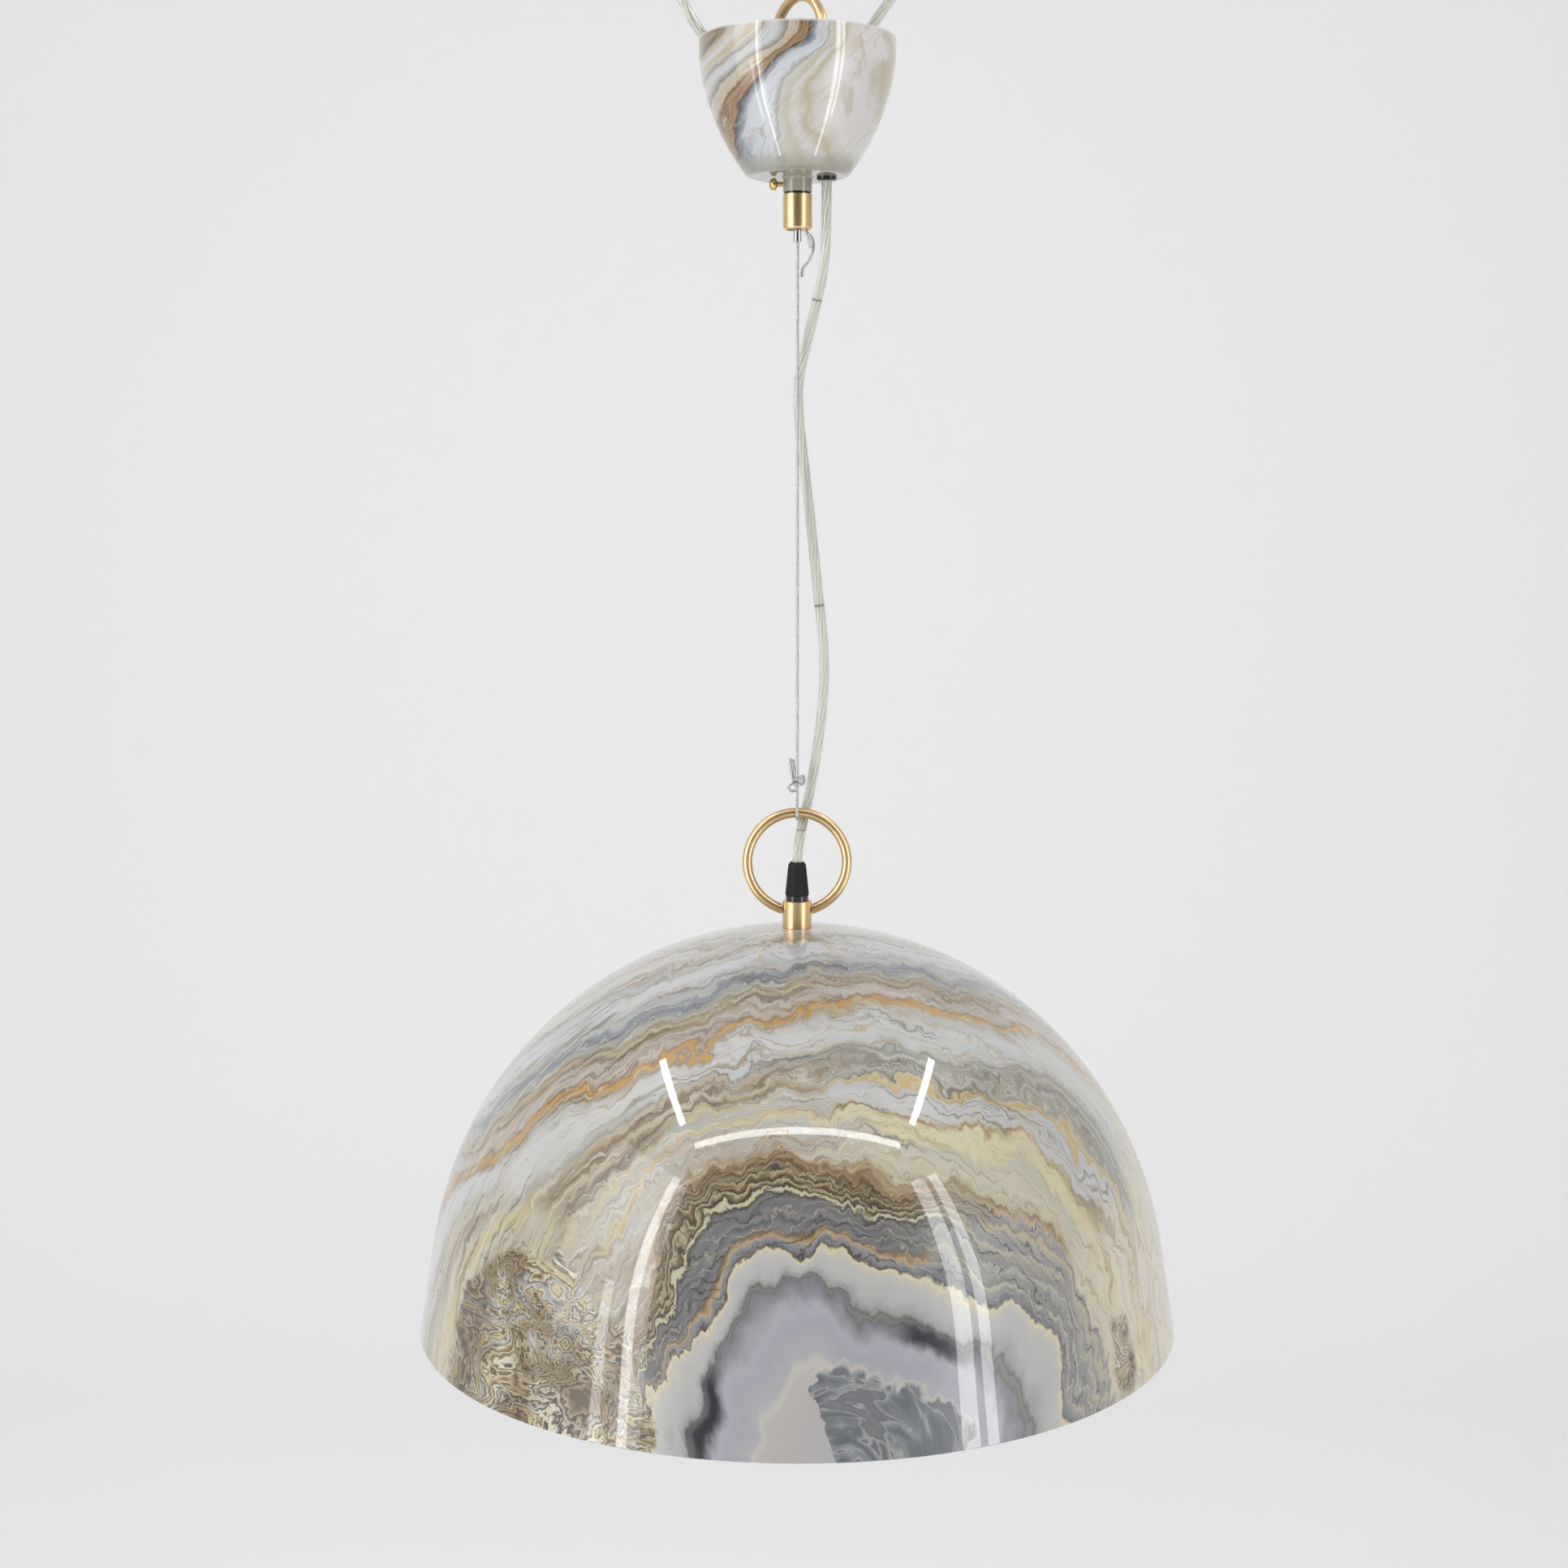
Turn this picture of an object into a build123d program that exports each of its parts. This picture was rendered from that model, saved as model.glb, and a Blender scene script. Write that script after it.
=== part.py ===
from build123d import *
import os
from math import asin, cos, pi, radians, sin, sqrt, tan

# A metal dome pendant on a steel wire: hanging ring, canopy cup, wire gripper, clear power cord,
# carrying ring, cord grip, dome shade, lampholder and bulb.
# Millimetres, +Z up, seen from -Y. The origin is where a ceiling hook bears on the hanging ring.

# Driving dimensions
SHADE_RADIUS = 200.0
DOME_RADIUS = 195.2
DOME_CENTRE_ABOVE_RIM = 15.15
SKIRT_TAPER = 8.5
CUP_RADIUS = 50.0
CUP_DEPTH = 67.6
SHEET = 1.0
RING_RADIUS = 26.15
RING_WIRE = 2.65
RING_TURN = -60.0
BOSS_RADIUS = 7.7
BOSS_HEIGHT = 14.2
CORD_RADIUS = 2.7
CORE_RADIUS = 0.95
WIRE_RADIUS = 0.75
THREAD = 5.0
TUBE_BORE = 3.2
NUT_FLATS = 14.0
NUT_HEIGHT = 3.4

# Clearances: seated threads and plugs, running fits
SEAT_GAP = 0.03
RUN_GAP = 0.05

# Levels below the hook's bearing point
CUP_RIM_Z = -18.7
CUP_FLOOR_Z = CUP_RIM_Z - CUP_DEPTH
NECK_END_Z = -93.9
SLEEVE_TOP_Z = -95.1
SLEEVE_END_Z = -112.5
PLUNGER_END_Z = -118.6
CARRIER_CENTRE_Z = -438.1
SHADE_BOSS_TOP_Z = -458.5
SHADE_BOSS_END_Z = SHADE_BOSS_TOP_Z - BOSS_HEIGHT
RIM_Z = -683.0
DOME_CENTRE_Z = RIM_Z + DOME_CENTRE_ABOVE_RIM

# Ring and boss, the same pair at both ends of the wire
RING_END = 8.0
RING_DROP = sqrt(RING_RADIUS ** 2 - RING_END ** 2)
PIN_RADIUS = 1.5
PIN_REACH = 5.75
PIN_BELOW_TOP = 4.5
HANGER_CENTRE_Z = RING_WIRE - RING_RADIUS
HEAD_TOP_Z = HANGER_CENTRE_Z - RING_DROP + PIN_BELOW_TOP
HEAD_END_Z = HEAD_TOP_Z - BOSS_HEIGHT

os.makedirs("parts", exist_ok=True)


def save(node, *solids):
    shape = solids[0] if len(solids) == 1 else Compound(children=list(solids))
    export_step(shape, f"parts/{node}.step")


def rod(radius, low, high, x=0.0, y=0.0):
    """Upright cylinder between two heights."""
    return Pos(x, y, low) * Cylinder(radius, high - low, align=(Align.CENTER, Align.CENTER, Align.MIN))


def tube(outer, inner, low, high, x=0.0, y=0.0):
    return rod(outer, low, high, x, y) - rod(inner, low - 1, high + 1, x, y)


def bar(radius, start, end):
    """Round bar from one point to another."""
    along = Vector(*end) - Vector(*start)
    blank = Cylinder(radius, along.length, align=(Align.CENTER, Align.CENTER, Align.MIN))
    return Plane(origin=start, z_dir=along) * blank


def block_of(x_range, y_range, z_range):
    """Plain block between pairs of X, Y and Z."""
    sizes = [high - low for low, high in (x_range, y_range, z_range)]
    middle = [(high + low) / 2 for low, high in (x_range, y_range, z_range)]
    return Pos(*middle) * Box(*sizes)


def turned(*corners):
    """Solid of revolution about Z from the corners (radius, height) of its half section."""
    return revolve(make_face(Plane.XZ * Polyline(*corners, close=True)), axis=Axis.Z)


def turned_edges(*edges):
    """The same from lines and arcs drawn in radius and height."""
    return revolve(make_face([Plane.XZ * edge for edge in edges]), axis=Axis.Z)


def hex_nut(low, high):
    corner = NUT_FLATS / sqrt(3)
    prism = extrude(Plane.XY.offset(low) * RegularPolygon(corner, 6), high - low)
    crown = rod(corner, low, high)
    crown = chamfer(crown.edges().filter_by(GeomType.CIRCLE), 0.6)
    return (prism & crown) - rod(THREAD + SEAT_GAP, low - 1, high + 1)


def cord_path(points, name):
    """Straight runs joined by tangent arcs, each as large as its two runs allow."""
    spots = [Vector(*point) for point in points]
    runs = [(b - a).length for a, b in zip(spots, spots[1:])]
    radii = []
    for k, (a, b, c) in enumerate(zip(spots, spots[1:], spots[2:])):
        half_turn = radians((b - a).get_angle(c - b)) / 2
        radii.append(0.45 * min(runs[k], runs[k + 1]) / tan(half_turn))
    path = FilletPolyline(*points, radius=radii)
    print(f"{name}: length {path.length:.1f}, radii {[round(radius) for radius in radii]}")
    return path


def swept(radius, path):
    return sweep(Plane(origin=path @ 0, z_dir=path % 0) * Circle(radius), path=path)


def cord_tube(points, radius, name):
    path = cord_path(points, name)
    solid = swept(radius, path)
    drift = solid.volume / (pi * radius ** 2 * path.length) - 1
    print(f"{name}: volume {100 * drift:+.2f}% off section times length")
    return solid


def between(start, end, share):
    """Point at a share of the way from one point to another."""
    return tuple(a + share * (b - a) for a, b in zip(start, end))


# Rings that carry a boss on two in-turned pins

def bail_ring(centre_z, turn):
    """Ring of round bar, open below, with its pins pointing at each other."""
    hoop = Rot(90, 0, 0) * Torus(RING_RADIUS, RING_WIRE)
    hoop -= Pos(0, 0, -RING_RADIUS) * Box(2 * RING_END, 4 * RING_WIRE, RING_RADIUS)
    for side in (-1, 1):
        hoop += bar(PIN_RADIUS, (side * PIN_REACH, 0, -RING_DROP), (side * (RING_END + 1.5), 0, -RING_DROP))
    return Pos(0, 0, centre_z) * Rot(0, 0, turn) * hoop


def bail_boss(top_z, turn):
    """Turned boss with a blind pin hole in each side."""
    body = rod(BOSS_RADIUS, top_z - BOSS_HEIGHT, top_z)
    body = fillet(body.edges().sort_by(Axis.Z)[-1], 0.5)
    pin_z = top_z - PIN_BELOW_TOP
    for side in (-1, 1):
        hole = bar(PIN_RADIUS + RUN_GAP, (side * (PIN_REACH - 0.2), 0, pin_z), (side * 9, 0, pin_z))
        body -= Rot(0, 0, turn) * hole
    return body


save("hanging_ring", bail_ring(HANGER_CENTRE_Z, RING_TURN))
save("carrying_ring", bail_ring(CARRIER_CENTRE_Z, 0))

# Stem: boss, threaded tube, lock nut and washer

TUBE_TOP_Z = HEAD_END_Z + 8.0
TUBE_END_Z = SLEEVE_TOP_Z - 6.0
save("head_boss", bail_boss(HEAD_TOP_Z, RING_TURN) - rod(THREAD + SEAT_GAP, HEAD_END_Z - 1, TUBE_TOP_Z))
save("stem_tube", tube(THREAD, TUBE_BORE, TUBE_END_Z, TUBE_TOP_Z))
save("stem_lock_nut", hex_nut(HEAD_END_Z - NUT_HEIGHT, HEAD_END_Z))
save("neck_washer", tube(6.95, THREAD + SEAT_GAP, SLEEVE_TOP_Z, NECK_END_Z))

# Wire gripper: sleeve, coned body, spring, and a plunger whose three balls bite on the wire

SLEEVE_RADIUS = 7.5
GRIPPER_RADIUS = 5.85
GRIPPER_TOP_Z = TUBE_END_Z - 0.6
GRIPPER_END_Z = SLEEVE_END_Z + 0.9
LIP_TOP_Z = GRIPPER_END_Z + 0.4
CHAMBER_RADIUS = 3.6
CHAMBER_TOP_Z = GRIPPER_TOP_Z - 1.2
CONE_TOP_Z = CHAMBER_TOP_Z - 3.4
CONE_END_Z = CONE_TOP_Z - 3.8
MOUTH_RADIUS = 2.3
PLUNGER_RADIUS = 2.05
PLUNGER_BORE = WIRE_RADIUS + 0.2
BALL_RADIUS = 0.86
BALL_CIRCLE = WIRE_RADIUS + BALL_RADIUS + 0.04
CONE_SLOPE = (CHAMBER_RADIUS - MOUTH_RADIUS) / (CONE_TOP_Z - CONE_END_Z)
CONE_RADIUS_AT_BALL = BALL_CIRCLE + (BALL_RADIUS + SEAT_GAP) * sqrt(1 + CONE_SLOPE ** 2)
BALL_Z = CONE_END_Z + (CONE_RADIUS_AT_BALL - MOUTH_RADIUS) / CONE_SLOPE
PLUNGER_TOP_Z = BALL_Z + 1.7
TAIL_SEATS = ((3.7, 1.6), (3.7, -1.5))
TAIL_SEAT_DEPTH = 0.9


def gripper_sleeve():
    blank = rod(SLEEVE_RADIUS, SLEEVE_END_Z, SLEEVE_TOP_Z)
    blank = fillet(blank.edges().sort_by(Axis.Z)[0], 1.2)
    blank -= rod(THREAD + SEAT_GAP, TUBE_END_Z, SLEEVE_TOP_Z + 1)
    blank -= rod(GRIPPER_RADIUS + SEAT_GAP, SLEEVE_END_Z - 1, GRIPPER_TOP_Z)
    return blank - rod(TUBE_BORE, GRIPPER_TOP_Z - 1, TUBE_END_Z + 1)


def gripper_body():
    body = turned(
        (0, GRIPPER_TOP_Z), (GRIPPER_RADIUS, GRIPPER_TOP_Z), (GRIPPER_RADIUS, GRIPPER_END_Z),
        (GRIPPER_RADIUS - 0.5, GRIPPER_END_Z), (GRIPPER_RADIUS - 0.8, LIP_TOP_Z), (MOUTH_RADIUS, LIP_TOP_Z),
        (MOUTH_RADIUS, CONE_END_Z), (CHAMBER_RADIUS, CONE_TOP_Z), (CHAMBER_RADIUS, CHAMBER_TOP_Z),
        (0, CHAMBER_TOP_Z))
    for x, y in TAIL_SEATS:
        body -= rod(WIRE_RADIUS + SEAT_GAP, LIP_TOP_Z - 1, LIP_TOP_Z + TAIL_SEAT_DEPTH, x, y)
    return body


def gripper_plunger():
    nose = tube(PLUNGER_RADIUS, PLUNGER_BORE, PLUNGER_END_Z, PLUNGER_TOP_Z)
    nose = chamfer(nose.edges().group_by(Axis.Z)[0], 0.25)
    for place in PolarLocations(BALL_CIRCLE, 3):
        nose -= Pos(0, 0, BALL_Z) * place * Rot(0, 90, 0) * Cylinder(BALL_RADIUS + SEAT_GAP, 3.0)
    return nose


save("gripper_sleeve", gripper_sleeve())
save("gripper_body", gripper_body())
save("gripper_plunger", gripper_plunger())
ball_places = PolarLocations(BALL_CIRCLE, 3)
save("gripper_balls", *[Pos(0, 0, BALL_Z) * place * Sphere(BALL_RADIUS) for place in ball_places])
save("gripper_spring", tube(1.9, 1.2, PLUNGER_TOP_Z + RUN_GAP, CHAMBER_TOP_Z))

# Suspension wire: one wire that runs down, goes round the carrying ring and comes back up into its knot

WIRE_TOP_Z = PLUNGER_END_Z - 0.3
FORK_Z = -394.0
CARRIER_BAR_Z = CARRIER_CENTRE_Z + RING_RADIUS
WRAP_RADIUS = RING_WIRE + WIRE_RADIUS + 0.08
RETURN_SHARE = 0.74


def suspension_wire():
    lean = asin(WRAP_RADIUS / (FORK_Z - CARRIER_BAR_Z))
    touch_y = WRAP_RADIUS * cos(lean)
    touch_z = CARRIER_BAR_Z + WRAP_RADIUS * sin(lean)
    front, back = (0, -touch_y, touch_z), (0, touch_y, touch_z)
    under = (0, 0, CARRIER_BAR_Z - WRAP_RADIUS)
    path = FilletPolyline((0, 0, WIRE_TOP_Z), (0, 0, FORK_Z), front, radius=20)
    path += ThreePointArc(front, under, back)
    path += Line(back, between(back, (0, 0, FORK_Z), RETURN_SHARE))
    return swept(WIRE_RADIUS, path)


def wire_turn(centre, radius, tilt):
    """One turn of wire, flat to the viewer before it is tilted about X, Y and Z."""
    return Pos(*centre) * Rot(*tilt) * Rot(90, 0, 0) * Torus(radius, WIRE_RADIUS)


def wire_bight(top, lean, half_width, legs):
    """Hairpin of drawn wire that points up, with its two legs given from left to right."""
    radius = WIRE_RADIUS - 0.09
    bend = Rot(90, 0, 0) * Torus(half_width, radius, major_angle=180)
    for side, length in zip((-1, 1), legs):
        bend += rod(radius, -length, 0, side * half_width)
    return Pos(*top) * Rot(0, -lean, 0) * bend


def wire_knot():
    """Two tight turns round the strands, a loop to each side and a bight above."""
    knot = wire_turn((0, 0, -394.6), 1.75, (78, 0, 0))
    knot += wire_turn((0, -0.5, -396.5), 1.87, (102, 0, 0))
    knot += wire_turn((-2.4, -2.5, -398.4), 2.0, (6, 0, 0))
    knot += wire_turn((2.5, 0.2, -394.9), 2.2, (0, 0, 55))
    return knot + wire_bight((-3.1, 1.6, -385.2), 10.6, 0.85, (10.9, 9.4))


def wire_tail():
    """The two strands left over beside the gripper's mouth."""
    seat_z = LIP_TOP_Z + TAIL_SEAT_DEPTH - SEAT_GAP
    (long_x, long_y), (short_x, short_y) = TAIL_SEATS
    long_route = [(long_x, long_y, seat_z), (long_x, long_y, -112.9), (7.9, 2.8, -116.2), (8.5, 3.2, -122.0),
                  (5.6, 2.8, -128.4), (2.0, 2.0, -132.2), (2.4, 1.95, -136.0)]
    short_route = [(short_x, short_y, seat_z), (short_x, short_y, -112.7), (5.6, -0.6, -117.0),
                   (6.7, 1.2, -121.6)]
    return (cord_tube(long_route, WIRE_RADIUS, "wire_tail long strand"),
            cord_tube(short_route, WIRE_RADIUS, "wire_tail short strand"))


save("suspension_wire", suspension_wire())
save("wire_knot", wire_knot())
save("wire_tail", *wire_tail())

# Canopy cup: straight rim, two arcs, rounded floor and a short neck that slides on the stem tube

RIM_STRAIGHT = 4.05
UPPER_ARC, UPPER_TURN = 77.3, radians(13.2)
LOWER_ARC = 116.7
FLOOR_CORNER = 5.0
NECK_RADIUS = 7.45
NECK_FILLET = 1.8
GROMMET_X = 14.8
GROMMET_BODY = 3.9
GROMMET_FLANGE = 5.15
GROMMET_END_Z = CUP_FLOOR_Z - 1.9
SCREW_Z = -89.9
SCREW_SHAFT = 1.2


def cup_form(inset):
    """Solid inside the cup's outline when that is moved inwards by inset."""
    radius = CUP_RADIUS - inset
    floor_z = CUP_FLOOR_Z + inset
    shoulder_z = CUP_RIM_Z - RIM_STRAIGHT
    upper, lower = UPPER_ARC - inset, LOWER_ARC - inset

    def on_upper(angle):
        return radius - upper * (1 - cos(angle)), shoulder_z - upper * sin(angle)

    waist = on_upper(UPPER_TURN)
    centre = (waist[0] - lower * cos(UPPER_TURN), waist[1] + lower * sin(UPPER_TURN))

    def on_lower(angle):
        return centre[0] + lower * cos(angle), centre[1] - lower * sin(angle)

    foot_turn = asin((centre[1] - floor_z) / lower)
    foot = on_lower(foot_turn)
    form = turned_edges(
        Line((0, CUP_RIM_Z), (radius, CUP_RIM_Z)), Line((radius, CUP_RIM_Z), (radius, shoulder_z)),
        ThreePointArc((radius, shoulder_z), on_upper(UPPER_TURN / 2), waist),
        ThreePointArc(waist, on_lower((UPPER_TURN + foot_turn) / 2), foot),
        Line(foot, (0, floor_z)), Line((0, floor_z), (0, CUP_RIM_Z)))
    return fillet(form.edges().sort_by(Axis.Z)[0], FLOOR_CORNER - inset)


def canopy_cup():
    cup = cup_form(0) + rod(NECK_RADIUS, NECK_END_Z, CUP_FLOOR_Z + SHEET / 2)
    root = [edge for edge in cup.edges().filter_by(GeomType.CIRCLE)
            if abs(edge.radius - NECK_RADIUS) < 0.01 and abs(edge.center().Z - CUP_FLOOR_Z) < 0.01]
    cup = fillet(root, NECK_FILLET)
    cup -= cup_form(SHEET)
    cup -= rod(THREAD + RUN_GAP, NECK_END_Z - 1, CUP_FLOOR_Z + 3)
    cup -= rod(GROMMET_BODY + SEAT_GAP, CUP_FLOOR_Z - 1, CUP_FLOOR_Z + 3, GROMMET_X)
    return cup - bar(SCREW_SHAFT + RUN_GAP, (-9, 0, SCREW_Z), (-4, 0, SCREW_Z))


def cord_grommet():
    bore = CORD_RADIUS + SEAT_GAP
    top = CUP_FLOOR_Z + SHEET
    bush = turned(
        (bore, GROMMET_END_Z), (GROMMET_FLANGE - 0.8, GROMMET_END_Z), (GROMMET_FLANGE, GROMMET_END_Z + 0.7),
        (GROMMET_FLANGE, CUP_FLOOR_Z), (GROMMET_BODY, CUP_FLOOR_Z), (GROMMET_BODY, top),
        (GROMMET_FLANGE - 0.3, top), (GROMMET_BODY, top + 2.4), (bore, top + 2.4))
    return Pos(GROMMET_X, 0, 0) * bush


def neck_screw():
    """Slotted round head and plain shaft, its tip close to the stem tube."""
    seat_x, head_radius, head_height = -10.3, 3.1, 4.1
    rim = (head_radius, 1.5)
    head = turned_edges(
        Line((0, 0), (1.7, 0)), Line((1.7, 0), (head_radius - 0.15, 0.9)),
        Line((head_radius - 0.15, 0.9), rim), ThreePointArc(rim, (head_radius * 0.8, 3.2), (0, head_height)),
        Line((0, head_height), (0, 0)))
    head = Pos(seat_x, 0, SCREW_Z) * Rot(0, -90, 0) * head
    end_x = seat_x - head_height
    head -= block_of((end_x - 1, end_x + 1.2), (-0.4, 0.4), (SCREW_Z - 4, SCREW_Z + 4))
    return head + bar(SCREW_SHAFT, (-THREAD - 0.1, 0, SCREW_Z), (seat_x - 0.5, 0, SCREW_Z))


save("canopy_cup", canopy_cup())
save("cord_grommet", cord_grommet())
save("neck_screw", neck_screw())

# Terminal block on the cup's floor: three poles one above the other, mains side to the front

BLOCK_X = -16.0
BLOCK_WIDTH, BLOCK_DEPTH, BLOCK_HEIGHT = 12.0, 14.0, 21.0
BLOCK_FOOT_Z = CUP_FLOOR_Z + SHEET
POLE_PITCH = 7.0
POLE_HEIGHTS = [BLOCK_FOOT_Z + POLE_PITCH * (k + 0.5) for k in range(3)]
INSERT_RADIUS, INSERT_LENGTH = 2.6, 11.0
TERMINAL_BORE, TERMINAL_DEPTH = 1.6, 5.0
CLAMP_RADIUS, CLAMP_Y = 1.2, 3.0
CLAMP_SEAT_X = BLOCK_X - INSERT_RADIUS + 0.7
BLOCK_SIDE_X = BLOCK_X - BLOCK_WIDTH / 2


def clamp_bar(radius, y, z, end_x):
    return bar(radius, (CLAMP_SEAT_X, y, z), (end_x, y, z))


def terminal_block():
    half_depth = BLOCK_DEPTH / 2
    body = block_of((BLOCK_SIDE_X, BLOCK_SIDE_X + BLOCK_WIDTH), (-half_depth, half_depth),
                    (BLOCK_FOOT_Z, BLOCK_FOOT_Z + BLOCK_HEIGHT))
    body = fillet(body.edges().filter_by(Axis.Z), 1.0)
    for z in POLE_HEIGHTS:
        body -= bar(INSERT_RADIUS + SEAT_GAP, (BLOCK_X, -8, z), (BLOCK_X, 8, z))
        for y in (-CLAMP_Y, CLAMP_Y):
            body -= clamp_bar(CLAMP_RADIUS + SEAT_GAP, y, z, BLOCK_SIDE_X - 1)
    for z in POLE_HEIGHTS[:-1]:
        groove_z = z + POLE_PITCH / 2
        for side in (-1, 1):
            groove_x = BLOCK_X + side * BLOCK_WIDTH / 2
            body -= block_of((groove_x - 1.2, groove_x + 1.2), (-8, 8), (groove_z - 0.6, groove_z + 0.6))
    return body


def terminal_insert(z):
    """Brass bar with a blind wire bore from each end and a seat for each clamping screw."""
    half = INSERT_LENGTH / 2
    bottom = half - TERMINAL_DEPTH
    insert = bar(INSERT_RADIUS, (BLOCK_X, -half, z), (BLOCK_X, half, z))
    for side in (-1, 1):
        insert -= bar(TERMINAL_BORE, (BLOCK_X, side * bottom, z), (BLOCK_X, side * (half + 1), z))
        insert -= clamp_bar(CLAMP_RADIUS + SEAT_GAP, side * CLAMP_Y, z, BLOCK_SIDE_X)
    return insert


def clamp_screw(y, z):
    end_x = BLOCK_SIDE_X - 0.6
    slot = block_of((end_x - 0.6, end_x + 0.6), (y - 2, y + 2), (z - 0.25, z + 0.25))
    return clamp_bar(CLAMP_RADIUS, y, z, end_x) - slot


save("terminal_block", terminal_block())
save("terminal_inserts", *[terminal_insert(z) for z in POLE_HEIGHTS])
save("terminal_screws", *[clamp_screw(y, z) for z in POLE_HEIGHTS for y in (-CLAMP_Y, CLAMP_Y)])

# Power cord above the cup: from the terminal block over the rim, round, and back down through the grommet

SHEATH_END = (-25, 14.5, -60)
LOOP_ROUTE = [
    SHEATH_END, (-31.5, 10.5, -45), (-40, 4.5, -25.5), (-57, 2, -4), (-68, 3, 26), (-66, 4.5, 56),
    (-46, 6, 80), (-14, 7, 92), (20, 6.5, 90), (49, 5.5, 72), (62, 4.5, 42), (53, 3.2, 10), (31.6, 2, -19),
    (20.5, 1.2, -43), (GROMMET_X, 0, -66), (GROMMET_X, 0, GROMMET_END_Z)]
save("power_cord_loop", cord_tube(LOOP_ROUTE, CORD_RADIUS, "power_cord_loop"))

# Its three cores, from the sheath's end face into the terminals

CORE_X = BLOCK_X + TERMINAL_BORE - CORE_RADIUS - SEAT_GAP
CORE_CIRCLE = 1.25
CORE_BENDS = {
    2: ((-18.3, 16.0, -67.2), 11.8),
    1: ((-18.6, 17.0, -72.8), 12.2),
    0: ((-20.0, 18.4, -78.0), 12.8),
}


def terminal_cores():
    end = Vector(*SHEATH_END)
    down = (end - Vector(*LOOP_ROUTE[1])).normalized()
    across = (Vector(1, 0, 0) - down * down.X).normalized()
    aside = down.cross(across)
    cores = []
    for k, (pole, (bend, straight_y)) in enumerate(CORE_BENDS.items()):
        angle = 2 * pi * k / 3
        start = end + across * CORE_CIRCLE * cos(angle) + aside * CORE_CIRCLE * sin(angle)
        z = POLE_HEIGHTS[pole]
        route = [tuple(start + down * SEAT_GAP), tuple(start + down * 4.5), bend,
                 (CORE_X, straight_y, z), (CORE_X, 2.5, z)]
        cores.append(cord_tube(route, CORE_RADIUS, f"core to pole {pole}"))
    return cores


save("cord_cores", *terminal_cores())

# Power cord below the cup, in stretches that meet end to end

CORD_ENTRY_Z = CARRIER_CENTRE_Z - 1.5
DOWN_ROUTE = [
    (GROMMET_X, 0, GROMMET_END_Z), (GROMMET_X, 0, -104), (14.4, 1.0, -120), (13.2, 2.1, -134),
    (5.9, 5.0, -165), (0.1, 6.3, -187), (0.5, 6.5, -206), (3.2, 6.6, -228), (6.5, 6.8, -256),
    (10.4, 7.0, -293), (14.6, 7.2, -330), (13.4, 7.6, -358), (9.4, 8.9, -388), (5.9, 9.8, -405.5),
    (0, 0, -430.5), (0, 0, CORD_ENTRY_Z)]
# Each cut is made on the run that follows a point of the route, at a share of that run
CUTS = ((3, 0.435), (9, 0.3), (13, 0.67))
STRETCHES = ("power_cord_top", "power_cord_upper", "power_cord_lower", "power_cord_end")


def cord_stretches():
    start, after = [], 0
    for node, (run, share) in zip(STRETCHES, (*CUTS, (len(DOWN_ROUTE) - 2, 1.0))):
        cut = between(DOWN_ROUTE[run], DOWN_ROUTE[run + 1], share)
        route = [*start, *DOWN_ROUTE[after:run + 1], cut]
        save(node, cord_tube(route, CORD_RADIUS, node))
        start, after = [cut], run + 1


cord_stretches()

# Cord grip: collar with two threaded ends, slotted collet and ribbed cap

STUD_DEPTH = 5.6
GRIP_FOOT_Z = SHADE_BOSS_TOP_Z + 2.7
GRIP_TIP, GRIP_FOOT = 4.7, 6.25
GRIP_BORE = CORD_RADIUS + 0.1
COLLAR_RADIUS = 6.0
COLLET_RADIUS = 3.9
COLLET_FOOT_Z = GRIP_FOOT_Z + 1.0
RIB_COUNT = 20


def cord_grip_cap():
    mouth = CORD_RADIUS + 0.35
    cap = turned(
        (mouth, CARRIER_CENTRE_Z), (GRIP_TIP - 1.0, CARRIER_CENTRE_Z), (GRIP_TIP, CARRIER_CENTRE_Z - 1.6),
        (GRIP_FOOT, GRIP_FOOT_Z + 0.8), (GRIP_FOOT - 0.3, GRIP_FOOT_Z), (THREAD, GRIP_FOOT_Z),
        (THREAD, GRIP_FOOT_Z + 7.5), (COLLET_RADIUS, GRIP_FOOT_Z + 10.5), (GRIP_BORE, GRIP_FOOT_Z + 12.5),
        (GRIP_BORE, CORD_ENTRY_Z), (mouth, CORD_ENTRY_Z))
    low, high = GRIP_FOOT_Z + 1.2, CARRIER_CENTRE_Z - 2.6
    groove = bar(0.32, (GRIP_FOOT + 0.16, 0, low), (GRIP_TIP + 0.3, 0, high))
    for k in range(RIB_COUNT):
        cap -= Rot(0, 0, 360 * k / RIB_COUNT) * groove
    return cap


def cord_grip_stud():
    foot_z = SHADE_BOSS_TOP_Z - STUD_DEPTH + SEAT_GAP
    thread = THREAD - SEAT_GAP
    cup = COLLET_RADIUS + 0.1
    return turned(
        (GRIP_BORE, foot_z), (THREAD, foot_z), (THREAD, SHADE_BOSS_TOP_Z), (COLLAR_RADIUS, SHADE_BOSS_TOP_Z),
        (COLLAR_RADIUS, GRIP_FOOT_Z), (thread, GRIP_FOOT_Z), (thread, GRIP_FOOT_Z + 6.5),
        (cup, GRIP_FOOT_Z + 6.5), (cup, COLLET_FOOT_Z), (GRIP_BORE, COLLET_FOOT_Z))


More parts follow.
